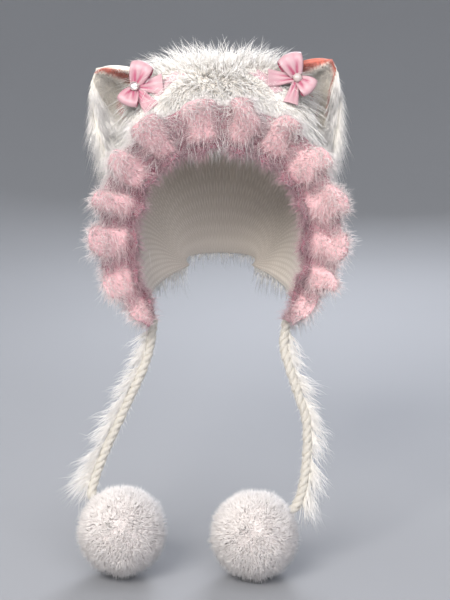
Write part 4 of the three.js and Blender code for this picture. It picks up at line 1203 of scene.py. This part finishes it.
front, back, normals, crest, out, outward = ruffle_faces()
# Painted shade: the valley mark darkens the mohair between the puffs and on the inner lip, where shade falls
inside_lip = np.clip((0.25 - out) / 0.35, 0, 1)
puff = (0.25 + 0.75 * crest) * np.sin(math.pi * np.clip((out + 0.1) / 1.25, 0, 1)) ** 0.7
valley = np.clip(1 - 1.4 * puff + 0.7 * inside_lip, 0, 1)
ruffle = sheet_mesh("ruffle_brim_knit", front, back, valley=valley)
ruffle = show("ruffle_brim_knit", ruffle, mohair_cloth_finish(), "pink_mohair", "ruffle_brim")


def ruffle_roots(cover, lift, dye):
    """Both faces of the frill, marked for one coat of hair."""
    even = np.ones(crest.shape)
    grown = {"pile": even, "cover": cover + 0 * even, "lift": lift * even, "dye": dye + 0 * even}
    return sheet_mesh("roots", front, back, stand=(normals, -normals), comb=comb, **grown, valley=valley)


turning = np.stack([np.sin(front[..., 2] * 90), 0 * crest, np.cos(front[..., 0] * 80)], -1)
away = outward * np.clip(5 * (out - 0.2), -1, 1)[..., None]
comb = along_surface(unit(away + 0.8 * turning + 1e-6), normals)
top = np.clip(1 - np.abs(np.linspace(-1, 1, RUFFLE_COLUMNS + 1)) / 0.55, 0, 1)[:, None]
white_edge = np.clip((out - 0.55) / 0.4, 0, 1) * (0.5 + 0.5 * np.clip(2 * top, 0, 1))
at_edge = np.clip((np.abs(out - 0.45) - 0.38) / 0.12, 0, 1)
beyond_lip = np.clip(2 * out, 0, 1)
# The halo is white in the trim, and whiter on the crests as a painted highlight
white_halo_and_crest_highlight = np.maximum(white_edge, 0.55 * beyond_lip * crest)
white_curls = 0.15 + 0.85 * beyond_lip
RUFFLE_COATS = {
    "ruffle_nap": (11500, ruffle_roots(1.0, 0.5 - 0.2 * at_edge, white_edge), {
        "length": 11 * MM, "width": 0.8 * MM, "sway": 0.7, "lock_size": 7 * MM, "lock_pull": 0.45,
        "curl": 0.7, "curl_size": 8 * MM, "seed": 41}),
    "ruffle_halo": (9000, ruffle_roots(1 + at_edge, 0.7 - 0.35 * at_edge, white_halo_and_crest_highlight), {
        "length": 13.5 * MM, "width": 0.36 * MM, "variety": 0.4, "sway": 0.75, "lock_pull": 0.0,
        "curl": 1.0, "curl_size": 10 * MM, "seed": 43}),
    "ruffle_edge_curls": (1800, ruffle_roots(0.03 + at_edge, 0.35, white_curls), {
        "length": 15.5 * MM, "width": 0.42 * MM, "variety": 0.35, "sway": 0.5, "lock_pull": 0.2,
        "curl": 1.3, "curl_size": 11 * MM, "steps": 4, "seed": 45}),
}
for name, (count, roots, sizes) in RUFFLE_COATS.items():
    coat = pile_mesh(name, roots, count, MOHAIR_PILE, frizz=MOHAIR_FRIZZ, **sizes)
    show(name, coat, None, "pink_mohair")
free_edge = np.linalg.norm(np.diff((front[:, -1] + back[:, -1]) / 2, axis=0), axis=1).sum()
print("ruffle's free edge, in metres:", round(float(free_edge), 3))

# %% [markdown]
# Each ear is a cup: a white fur back and a cream plush lining, both spread between an inner rim on top of
# the hood and an outer rim at its side. A coral edge follows the upper rim with a padded roll under it, and
# coral shows again in the pit and along the dart that shapes the cup. The back's fur is short at the tip
# and grows longer down the outer rim, where it hangs past the ear. Part of the lining has fur as well: the
# lower half of the left cup, and a margin of the right one.

# %% Ears
EAR_BACK = 2.4 * MM
EAR_LINING = 2.4 * MM
EAR_CUP = 16 * MM
EAR_TOP_BULGE = 9 * MM
EAR_SIDE_BULGE = 20 * MM
EAR_TIP_WIDTH = 18 * MM
EAR_FOOT_SHARE = 0.05
EAR_GRID = 40
EARS = {
    "left": {"side": -1, "inner": 0.2, "outer": 0.5, "tip_out": 1.36, "tip_back": 0.22, "tip_down": 0.035},
    "right": {"side": 1, "inner": 0.18, "outer": 0.5, "tip_out": 1.24, "tip_back": 0.22, "tip_down": 0.0},
}
EAR_INNER_BACK = 0.27
EAR_OUTER_BACK = 0.23
EAR_BEND = 0.08
# The plush's woven ground, a tuft every 1.25 mm
PLUSH_TUFTS = 0.8 / MM


def ear_middle(ear, p, q):
    """Places on an ear's middle: p from its inner rim to its outer rim, q from the hood to the tip."""
    side = ear["side"]

    def foot(share):
        along = ear["inner"] + (ear["outer"] - ear["inner"]) * share
        back = EAR_INNER_BACK + (EAR_OUTER_BACK - EAR_INNER_BACK) * share
        return hood_point((1 + side * along) / 2, back + EAR_BEND * math.sin(math.pi * share), KNIT_WALL)

    p, q = np.asarray(p, float), np.asarray(q, float)
    base = np.array([foot(share) for share in p])[:, None]
    rimward = unit(foot(1.0) - foot(0.0))
    tip = np.array([side * ear["tip_out"] * HOOD_HALF_WIDTH, (ear["tip_back"] - CROWN_BACK) * HOOD_DEPTH,
                    -ear["tip_down"] * HOOD_DROP])
    p, q = p[:, None, None], q[None, :, None]
    tip = tip + rimward * (p - 0.5) * EAR_TIP_WIDTH
    reach = np.where(p < 0.5, EAR_TOP_BULGE, EAR_SIDE_BULGE)
    bulge = (2 * p - 1) * reach * np.sin(math.pi * np.clip(q, 0, 1)) ** 0.8
    hollow = EAR_CUP * np.sin(math.pi * p) * np.sin(math.pi * np.minimum(q + 0.08, 1))
    return base + (tip - base) * q + rimward * bulge + np.array([0, 1, 0]) * hollow


def ear_grid(ear):
    """An ear's middle from just above the hood to its tip, and the directions off its front."""
    p = np.linspace(0, 1, EAR_GRID + 1)
    q = np.linspace(EAR_FOOT_SHARE, 1, EAR_GRID + 1)
    grid = ear_middle(ear, p, q)
    return grid, grid_normals(grid, np.array([0, -1, 0])), p[:, None], q[None, :]


def band(value, middle, width):
    """1 at the middle of a band and 0 beyond its width, smoothly."""
    near = np.clip(1 - np.abs(value - middle) / width, 0, 1)
    return near**2 * (3 - 2 * near)


def plush_finish():
    """The plush's woven ground: matt, with painted grey shade where it is deep, coral where the marks say so.
    """
    material, surface, tree = new_material("Cream plush", Roughness=0.95, Sheen_Weight=0.3)
    coral = add_node(tree, "ShaderNodeAttribute", output="Fac", attribute_name="coral")
    depth = add_node(tree, "ShaderNodeAttribute", output="Fac", attribute_name="depth")
    place = add_node(tree, "ShaderNodeTexCoord", output="Object")
    nap = add_node(tree, "ShaderNodeTexNoise", {"Vector": place, "Scale": PLUSH_TUFTS, "Detail": 3.0}, "Fac")
    links = {0: depth, 6: linear(PLUSH_CREAM[1]), 7: linear(PLUSH_SHADE[1])}
    shade = add_node(tree, "ShaderNodeMix", links, 2, data_type="RGBA")
    links = {0: coral, 6: shade, 7: linear(PLUSH_CORAL[1])}
    shade = add_node(tree, "ShaderNodeMix", links, 2, data_type="RGBA")
    tree.links.new(shade, surface.inputs["Base Color"])
    links = {"Height": nap, "Distance": 0.6 * MM, "Strength": 0.6}
    tree.links.new(add_node(tree, "ShaderNodeBump", links), surface.inputs["Normal"])
    return material


def lining_marks(side, p, q):
    """Where the lining is coral, where it has painted shade, where it swells, and where it has fur."""
    near_tip = np.clip((q - 0.85) / 0.15, 0, 1)
    if side == "left":
        edge = 0.17 - 0.14 * q + 0.25 * near_tip**3
        coral = 2 * band(p, edge, 0.1 - 0.02 * q) + 2.2 * band(p, 0.54, 0.09) * band(q, 0.2, 0.3)
        fur = np.clip((p - 0.64 - 0.08 * q) / 0.05, 0, 1) + 0.5 * np.clip((edge - 0.05 - p) / 0.03, 0, 1)
        # Painted shade, greyest in the middle of the cup towards the hood
        depth = 0.2 + 0.7 * np.clip(1.1 - 1.1 * q, 0, 1) * band(p, 0.42, 0.45)
        roll = 0.6 * band(p, edge + 0.1, 0.12)
    else:
        outline = 0.8 - 0.12 * np.clip((q - 0.6) / 0.4, 0, 1)
        coral = 2 * band(p, 0.0, 0.13) + 1.5 * band(p, outline, 0.045) * np.clip((q - 0.5) / 0.1, 0, 1)
        coral = coral + 2 * near_tip**3 * (p < outline)
        coral = coral + 0.8 * band(p, 0.63, 0.03) * band(q, 0.2, 0.32)
        coral = coral + 1.5 * band(p, 0.42, 0.1) * band(q, 0.17, 0.16)
        fur = np.clip((p - outline - 0.02) / 0.05, 0, 1)
        # A painted shadow under the padded roll, and painted shade in the outer half of the cup towards the
        # hood
        shadow = 0.8 * band(p, 0.25, 0.06) * np.clip(1.2 - q, 0, 1)
        depth = shadow + 0.7 * np.clip((p - 0.45) / 0.2, 0, 1) * np.clip(1.3 - 1.2 * q, 0, 1)
        roll = band(p, 0.13, 0.13) + 0.35 * band(p, 0.72, 0.13) + 0.3 * band(p, 0.38, 0.1)
    even = 1 + 0 * (p + q)
    return np.clip(coral, 0, 1) * even, np.clip(depth, 0, 1) * even, roll * even, np.clip(fur, 0, 1) * even


EAR_FUR_HAIRS = 3000
EAR_NAP_HAIRS = 3500
EAR_WRAP_HAIRS = 2300
EAR_ROLL = 5 * MM
DOWN = np.array([0, 0, -1.0])
PLUSH_CREAM = ("#F1EADC", "#F7F2E8", "#FCFAF5")
# The greyer colours of the cup's painted shade
PLUSH_SHADE = ("#CDC4B0", "#D9D1BF", "#E6E0D2")
PLUSH_CORAL = ("#B85A49", "#CB7462", "#DC9585")
PLUSH_PILE = pile_finish("Cream plush pile", PLUSH_CREAM, 0.7, 0.3, depth=PLUSH_SHADE, coral=PLUSH_CORAL)
PLUSH_GROUND = plush_finish()
RIM_FALL = {"left": 0.4, "right": 0.8}
for number, (side, ear) in enumerate(EARS.items()):
    grid, front_way, p, q = ear_grid(ear)
    even = np.ones(grid.shape[:2])
    tipward = unit(np.gradient(grid, axis=1))
    rimward = unit(np.gradient(grid, axis=0))
    back_front = grid - front_way * SEAM_GAP / 2
    back_behind = back_front - front_way * EAR_BACK
    coral, depth, roll, furred = lining_marks(side, p, q)
    edge = 1.5 * band(p, 0, 0.1) * (side == "right") * even
    edge = np.clip(edge, 0, 1)
    back_piece = sheet_mesh(f"{side}_ear_back", back_front, back_behind, coral=edge, depth=0 * even)
    show(f"{side}_ear_back_cloth", back_piece, PLUSH_GROUND, "white_yarn", f"{side}_ear_back")
    hang = np.clip((p - 0.35) / 0.65, 0, 1) ** 1.5 * np.clip(1.35 - q, 0, 1) ** 0.7
    down = DOWN + rimward * (RIM_FALL[side] * hang)[..., None] + tipward * 0.35
    marks = {
        "stand": unit(-front_way + rimward * (p[..., None] ** 6)),
        "comb": unit(along_surface(down, -front_way)),
        "pile": 0.3 + 0.7 * hang,
        "lift": 0.2 + 0.12 * hang,
        "cover": (0.5 + 2 * hang**2) * np.clip(0.3 + 8 * p, 0, 1),
    }
    fur = pile_mesh(
        f"{side}_ear_fur", root_mesh(back_behind, **marks), EAR_FUR_HAIRS, WHITE_PILE,
        length=38 * MM, width=0.75 * MM, sway=0.2, lock_size=9 * MM, lock_pull=0.7, curl=0.35,
        curl_size=18 * MM, seed=51 + number,
    )
    show(f"{side}_ear_fur", fur, None, "white_yarn")

    lining_behind = grid + front_way * SEAM_GAP / 2
    rise = EAR_LINING + EAR_ROLL * roll * np.sin(math.pi * q) ** 0.4
    lining_front = lining_behind + front_way * rise[..., None]
    lining = sheet_mesh(f"{side}_ear_lining", lining_front, lining_behind, coral=coral, depth=depth)
    show(f"{side}_ear_plush", lining, PLUSH_GROUND, "cream_plush", f"{side}_ear_lining")
    marks = {
        "stand": front_way,
        "comb": unit(along_surface(tipward * 0.5 + DOWN, front_way)),
        "pile": even,
        "lift": 0.5 * even,
        "cover": 1.05 - furred,
        "coral": coral,
        "depth": depth,
    }
    nap = pile_mesh(
        f"{side}_ear_nap", root_mesh(lining_front, **marks), EAR_NAP_HAIRS, PLUSH_PILE,
        length=4.5 * MM, width=0.7 * MM, sway=0.35, lock_size=5 * MM, lock_pull=0.2, curl=0.0, steps=1,
        seed=61 + number,
    )
    show(f"{side}_ear_nap", nap, None, "cream_plush")
    down = DOWN + rimward * (RIM_FALL[side] * hang)[..., None] - tipward * 0.8
    marks = {
        "stand": front_way,
        "comb": unit(along_surface(down, front_way)),
        "pile": 0.2 + 0.8 * np.clip(2 * p - 0.4, 0, 1),
        "lift": 0.16 * even,
        "cover": 0.001 + furred,
    }
    wrap = pile_mesh(
        f"{side}_ear_wrap", root_mesh(lining_front, **marks), EAR_WRAP_HAIRS, WHITE_PILE,
        length=24 * MM, width=0.8 * MM, sway=0.16, droop=0.15, lock_size=9 * MM, lock_pull=0.6, curl=0.3,
        curl_size=18 * MM, seed=71 + number,
    )
    show(f"{side}_ear_wrap", wrap, None, "white_yarn")

# %% [markdown]
# A bow is one satin ribbon folded into two loops and two tails, gathered at a knot and held by a stone.
# Satin is woven with long floats, so it shines along its fold lines and is nearly matt elsewhere. Each
# ribbon starts as narrow pleats in the knot and opens as it leaves it, which is where its creases run from.

# %% Bows, stones and ribbon ends
KNOT_WIDTH = 9 * MM
KNOT_DEPTH = 8 * MM
BOW_LEAN = math.radians(12)
LOOP_OPEN = 0.27
LOOP_ROUND = 0.13
TAIL_WAVE = 1.2 * MM
GEM_DIAMETER = 11 * MM
GEM_HEIGHT = 4 * MM
GEM_AROUND = 36
PLEAT_DEPTH = 1.1 * MM
# Faint creases in one ribbon: along its length, and across its width
CREASE_COUNTS = (5.0, 22.0, 1.0)
# Flakes of glitter 0.8 mm across, coarser than real ones so that they show
GLITTER_FLAKES = 1.3 / MM
BOWS = {
    "left": [
        ("loop", 69, 32, 27, 4),
        ("loop", 246, 25, 25, 6),
        ("tail", 309, 35, 22, 9),
        ("tail", 6, 34, 25, 4),
    ],
    "right": [
        ("loop", 112, 31, 30, 4),
        ("loop", 318, 24, 24, 6),
        ("tail", 255, 33, 18, 9),
        ("tail", 180, 35, 22, 5),
    ],
}
BOW_OUT = np.array([0, -math.cos(BOW_LEAN), math.sin(BOW_LEAN)])
BOW_RIGHT = np.array([1.0, 0, 0])
BOW_UP = -np.cross(BOW_RIGHT, BOW_OUT)


def bow_centre(side):
    """The middle of a bow's knot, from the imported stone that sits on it."""
    low, high = (np.array(corner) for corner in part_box(f"{side}_bow_gem"))
    return (low + high) / 2 - BOW_OUT * (KNOT_DEPTH / 2 + SEAM_GAP + GEM_HEIGHT / 2)


def satin_finish(name, colour, inside, shade):
    """Satin ribbon: smooth floats with a soft, stretched shine, and painted shade in the folds and inside a
    loop.
    """
    material, surface, tree = new_material(name, Roughness=0.32, Sheen_Weight=0.2, Anisotropic=0.5)
    inner = add_node(tree, "ShaderNodeAttribute", output="Fac", attribute_name="inside")
    crease = add_node(tree, "ShaderNodeAttribute", output="Fac", attribute_name="crease")
    links = {0: crease, 6: linear(colour), 7: linear(shade)}
    mixed = add_node(tree, "ShaderNodeMix", links, 2, data_type="RGBA")
    links = {0: inner, 6: mixed, 7: linear(inside)}
    mixed = add_node(tree, "ShaderNodeMix", links, 2, data_type="RGBA")
    tree.links.new(mixed, surface.inputs["Base Color"])
    uv = add_node(tree, "ShaderNodeTexCoord", output="UV")
    stretched = add_node(tree, WAY, {0: uv, 1: CREASE_COUNTS}, operation="MULTIPLY")
    pleats = add_node(tree, "ShaderNodeTexNoise", {"Vector": stretched, "Scale": 1.0, "Detail": 2.0}, "Fac")
    links = {"Height": pleats, "Distance": 1.2 * MM, "Strength": 0.5}
    tree.links.new(add_node(tree, "ShaderNodeBump", links), surface.inputs["Normal"])
    return material


def ribbon_mesh(side, centre, piece, columns=44, rows=14):
    """One ribbon of a bow as a closed sheet, with pleats that fade away from the knot."""
    kind, degrees, length, widest, rise = piece
    length, widest, rise = length * MM, widest * MM, rise * MM
    ahead = BOW_RIGHT * math.cos(math.radians(degrees)) + BOW_UP * math.sin(math.radians(degrees))
    sideways = np.cross(ahead, BOW_OUT)
    s = np.linspace(0, 1, columns + 1)[:, None]
    t = np.linspace(0, 1, rows + 1)[None, :]
    if kind == "loop":
        turn = math.pi * (2 * (0.09 + 0.82 * s) - 1)
        share = (1 + np.cos(turn)) / 2
        far = length * share * (1 - LOOP_ROUND * np.abs(2 * t - 1) ** 2.2)
        off = -LOOP_OPEN * widest * np.sin(turn) * np.sqrt(share) + rise * share
        width = KNOT_WIDTH * 0.8 + (widest - KNOT_WIDTH * 0.8) * np.sin(math.pi / 2 * share) ** 0.7
    else:
        share = s
        far = length * (0.02 + 0.98 * s)
        off = rise * s**1.5 + TAIL_WAVE * np.sin(2 * math.pi * s) + 0 * t
        width = KNOT_WIDTH * 0.7 + (widest - KNOT_WIDTH * 0.7) * s**0.8
    crease = np.cos(math.pi * 5 * t + degrees) * (1 - share) ** 0.8
    bowed = off - rise * 0.25 * (2 * t - 1) ** 2 * far / length + PLEAT_DEPTH * crease
    grid = centre + ahead * far[..., None] + BOW_OUT * bowed[..., None]
    grid = grid + sideways * ((t - 0.5) * width)[..., None]
    normals = unit(np.cross(np.gradient(grid, axis=0), np.gradient(grid, axis=1)))
    # Painted shade: crease darkens the pleats' hollows and a V fold near the knot, and inside deepens a
    # loop's inner face
    fold = 1.5 * band(np.abs(2 * t - 1), 0.1 + 0.6 * share, 0.26) * np.clip(1.6 - 2.1 * share, 0, 1)
    inside = 0 * crease + (1.0 if kind == "loop" else 0.0)
    marks = {"crease": np.clip(np.maximum(-0.8 * crease, fold), 0, 1)}
    middle = centre + ahead * length * 0.6 + BOW_OUT * rise * 0.6
    faces_in = np.sign(((middle - grid) * normals).sum(-1)).mean() > 0
    marks["inside"] = (inside, 0 * inside) if faces_in else (0 * inside, inside)
    front, back = grid + normals * RIBBON / 2, grid - normals * RIBBON / 2
    return sheet_mesh(f"{side}_bow_{kind}_{degrees}", front, back, **marks)


def joined(name, meshes):
    """Several meshes as one, with their marks kept."""
    whole = bmesh.new()
    for mesh in meshes:
        whole.from_mesh(mesh)
        bpy.data.meshes.remove(mesh)
    result = bpy.data.meshes.new(name)
    whole.to_mesh(result)
    whole.free()
    return result


def knot_mesh(centre):
    """The wrapped middle of a bow: a flattened ball with pleats round it."""
    ball = bmesh.new()
    bmesh.ops.create_uvsphere(ball, u_segments=40, v_segments=20, radius=0.5)
    ways = np.array([v.co[:] for v in ball.verts])
    faces = [tuple(v.index for v in f.verts) for f in ball.faces]
    ball.free()
    pleats = 1 + 0.05 * np.cos(ways[:, 0] * 40)
    points = centre + (
        BOW_RIGHT * (ways[:, :1] * KNOT_WIDTH)
        + BOW_UP * (ways[:, 1:2] * KNOT_WIDTH)
        + BOW_OUT * (ways[:, 2:] * KNOT_DEPTH)
    ) * pleats[:, None]
    zero = np.zeros(len(points))
    return mesh_of("knot", points, faced_out(points, faces), inside=zero, crease=zero)


GEM_PROFILES = {
    "left": [(0.72, 0.0, 1), (0.94, 0.12, 1), (1.0, 0.42, 1), (0.94, 0.78, 1), (0.84, 0.82, 1),
             (0.78, 0.6, 0), (0.5, 0.62, 0), (0.25, 0.64, 0)],
    "right": [(math.cos(0.2 * k), math.sin(0.2 * k), 1) for k in range(8)],
}


def gem_mesh(side, seat):
    """A stone turned round its axis: a glitter disc in a pearly ring, or a pearly dome."""
    profile = np.array(GEM_PROFILES[side])
    turn = np.linspace(0, 2 * math.pi, GEM_AROUND, endpoint=False)
    round_way = BOW_RIGHT * np.cos(turn)[:, None] + BOW_UP * np.sin(turn)[:, None]
    rings = seat + round_way * profile[:, None, :1] * GEM_DIAMETER / 2
    rings = rings + BOW_OUT * profile[:, None, 1:2] * GEM_HEIGHT
    uv = np.zeros(rings.shape[:2] + (2,))
    return tube_mesh(f"{side}_bow_gem", rings, uv, pearl=profile[:, 2:] + 0 * turn)


def gem_finish():
    """Pearl lacquer, and flakes of foil set in clear resin where the pearl mark is 0."""
    sockets = {"IOR": 1.55, "Coat_Weight": 0.6, "Coat_Roughness": 0.06}
    material, surface, tree = new_material("Pearl and glitter resin", **sockets)
    pearl = add_node(tree, "ShaderNodeAttribute", output="Fac", attribute_name="pearl")
    place = add_node(tree, "ShaderNodeTexCoord", output="Object")
    flakes = add_node(tree, "ShaderNodeTexVoronoi", {"Vector": place, "Scale": GLITTER_FLAKES}, "Color")
    bright = add_node(tree, "ShaderNodeSeparateXYZ", {0: flakes}, "X")
    bright = add_node(tree, "ShaderNodeMapRange", {0: bright, 1: 0.25, 2: 0.85})
    links = {0: bright, 6: linear("#4A3A42"), 7: linear("#D5C2C6")}
    foil = add_node(tree, "ShaderNodeMix", links, 2, data_type="RGBA")
    links = {0: pearl, 6: foil, 7: linear("#B8AAA6")}
    mixed = add_node(tree, "ShaderNodeMix", links, 2, data_type="RGBA")
    tree.links.new(mixed, surface.inputs["Base Color"])
    shine = add_node(tree, "ShaderNodeMapRange", {0: pearl, 3: 0.8, 4: 0.0})
    tree.links.new(shine, surface.inputs["Metallic"])
    rough = add_node(tree, "ShaderNodeMapRange", {0: pearl, 3: 0.32, 4: 0.22})
    tree.links.new(rough, surface.inputs["Roughness"])
    return material


def cloth_area(piece):
    """Half of a closed sheet's surface, in square metres."""
    return sum(face.area for face in piece.data.polygons) / 2


# Polyester satin in a light pink, raspberry where light falls into a fold or a loop
PINK_SATIN = satin_finish("Pink satin ribbon", "#BF9AA0", "#B04668", "#AA4C6A")
# The same satin with its paler back up, nearly one colour all over
PALE_SATIN = satin_finish("Pale satin ribbon", "#C4A2A8", "#B9969C", "#AC888F")
GEM_RESIN = gem_finish()
NO_MARK = np.zeros(ribbon_ends["left"][0].shape[:2])
for side, pieces in BOWS.items():
    centre = bow_centre(side)
    bow = joined(f"{side}_bow", [ribbon_mesh(side, centre, piece) for piece in pieces])
    bow = show(f"{side}_bow_satin", bow, PINK_SATIN, "pink_satin", f"{side}_bow")
    knot = show(f"{side}_bow_knot", knot_mesh(centre), PINK_SATIN, "pink_satin")
    seat = centre + BOW_OUT * (KNOT_DEPTH / 2 + SEAM_GAP)
    show(f"{side}_bow_stone", gem_mesh(side, seat), GEM_RESIN, "crystal", f"{side}_bow_gem")
    end = sheet_mesh(f"{side}_bow_streamer", *ribbon_ends[side], inside=NO_MARK, crease=NO_MARK)
    end = show(f"{side}_ribbon_end", end, PALE_SATIN, "pale_satin", f"{side}_bow_streamer")
    print(f"{side} bow: {cloth_area(bow):.5f} square metres of ribbon, and {cloth_area(end):.5f} in its end")

# %% [markdown]
# The imported box and the finished one are measured, so that one can see how far the fur reaches past the
# solids.

# %% Sizes of the imported and the finished boxes
visual_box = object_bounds()
sizes = {"cad": [list(corner) for corner in cad_box], "visual": [list(corner) for corner in visual_box]}
print("grown past the packed box, in mm:",
      [[round((v - c) * 1000, 1) for v, c in zip(a, b)] for a, b in zip(visual_box, cad_box)])
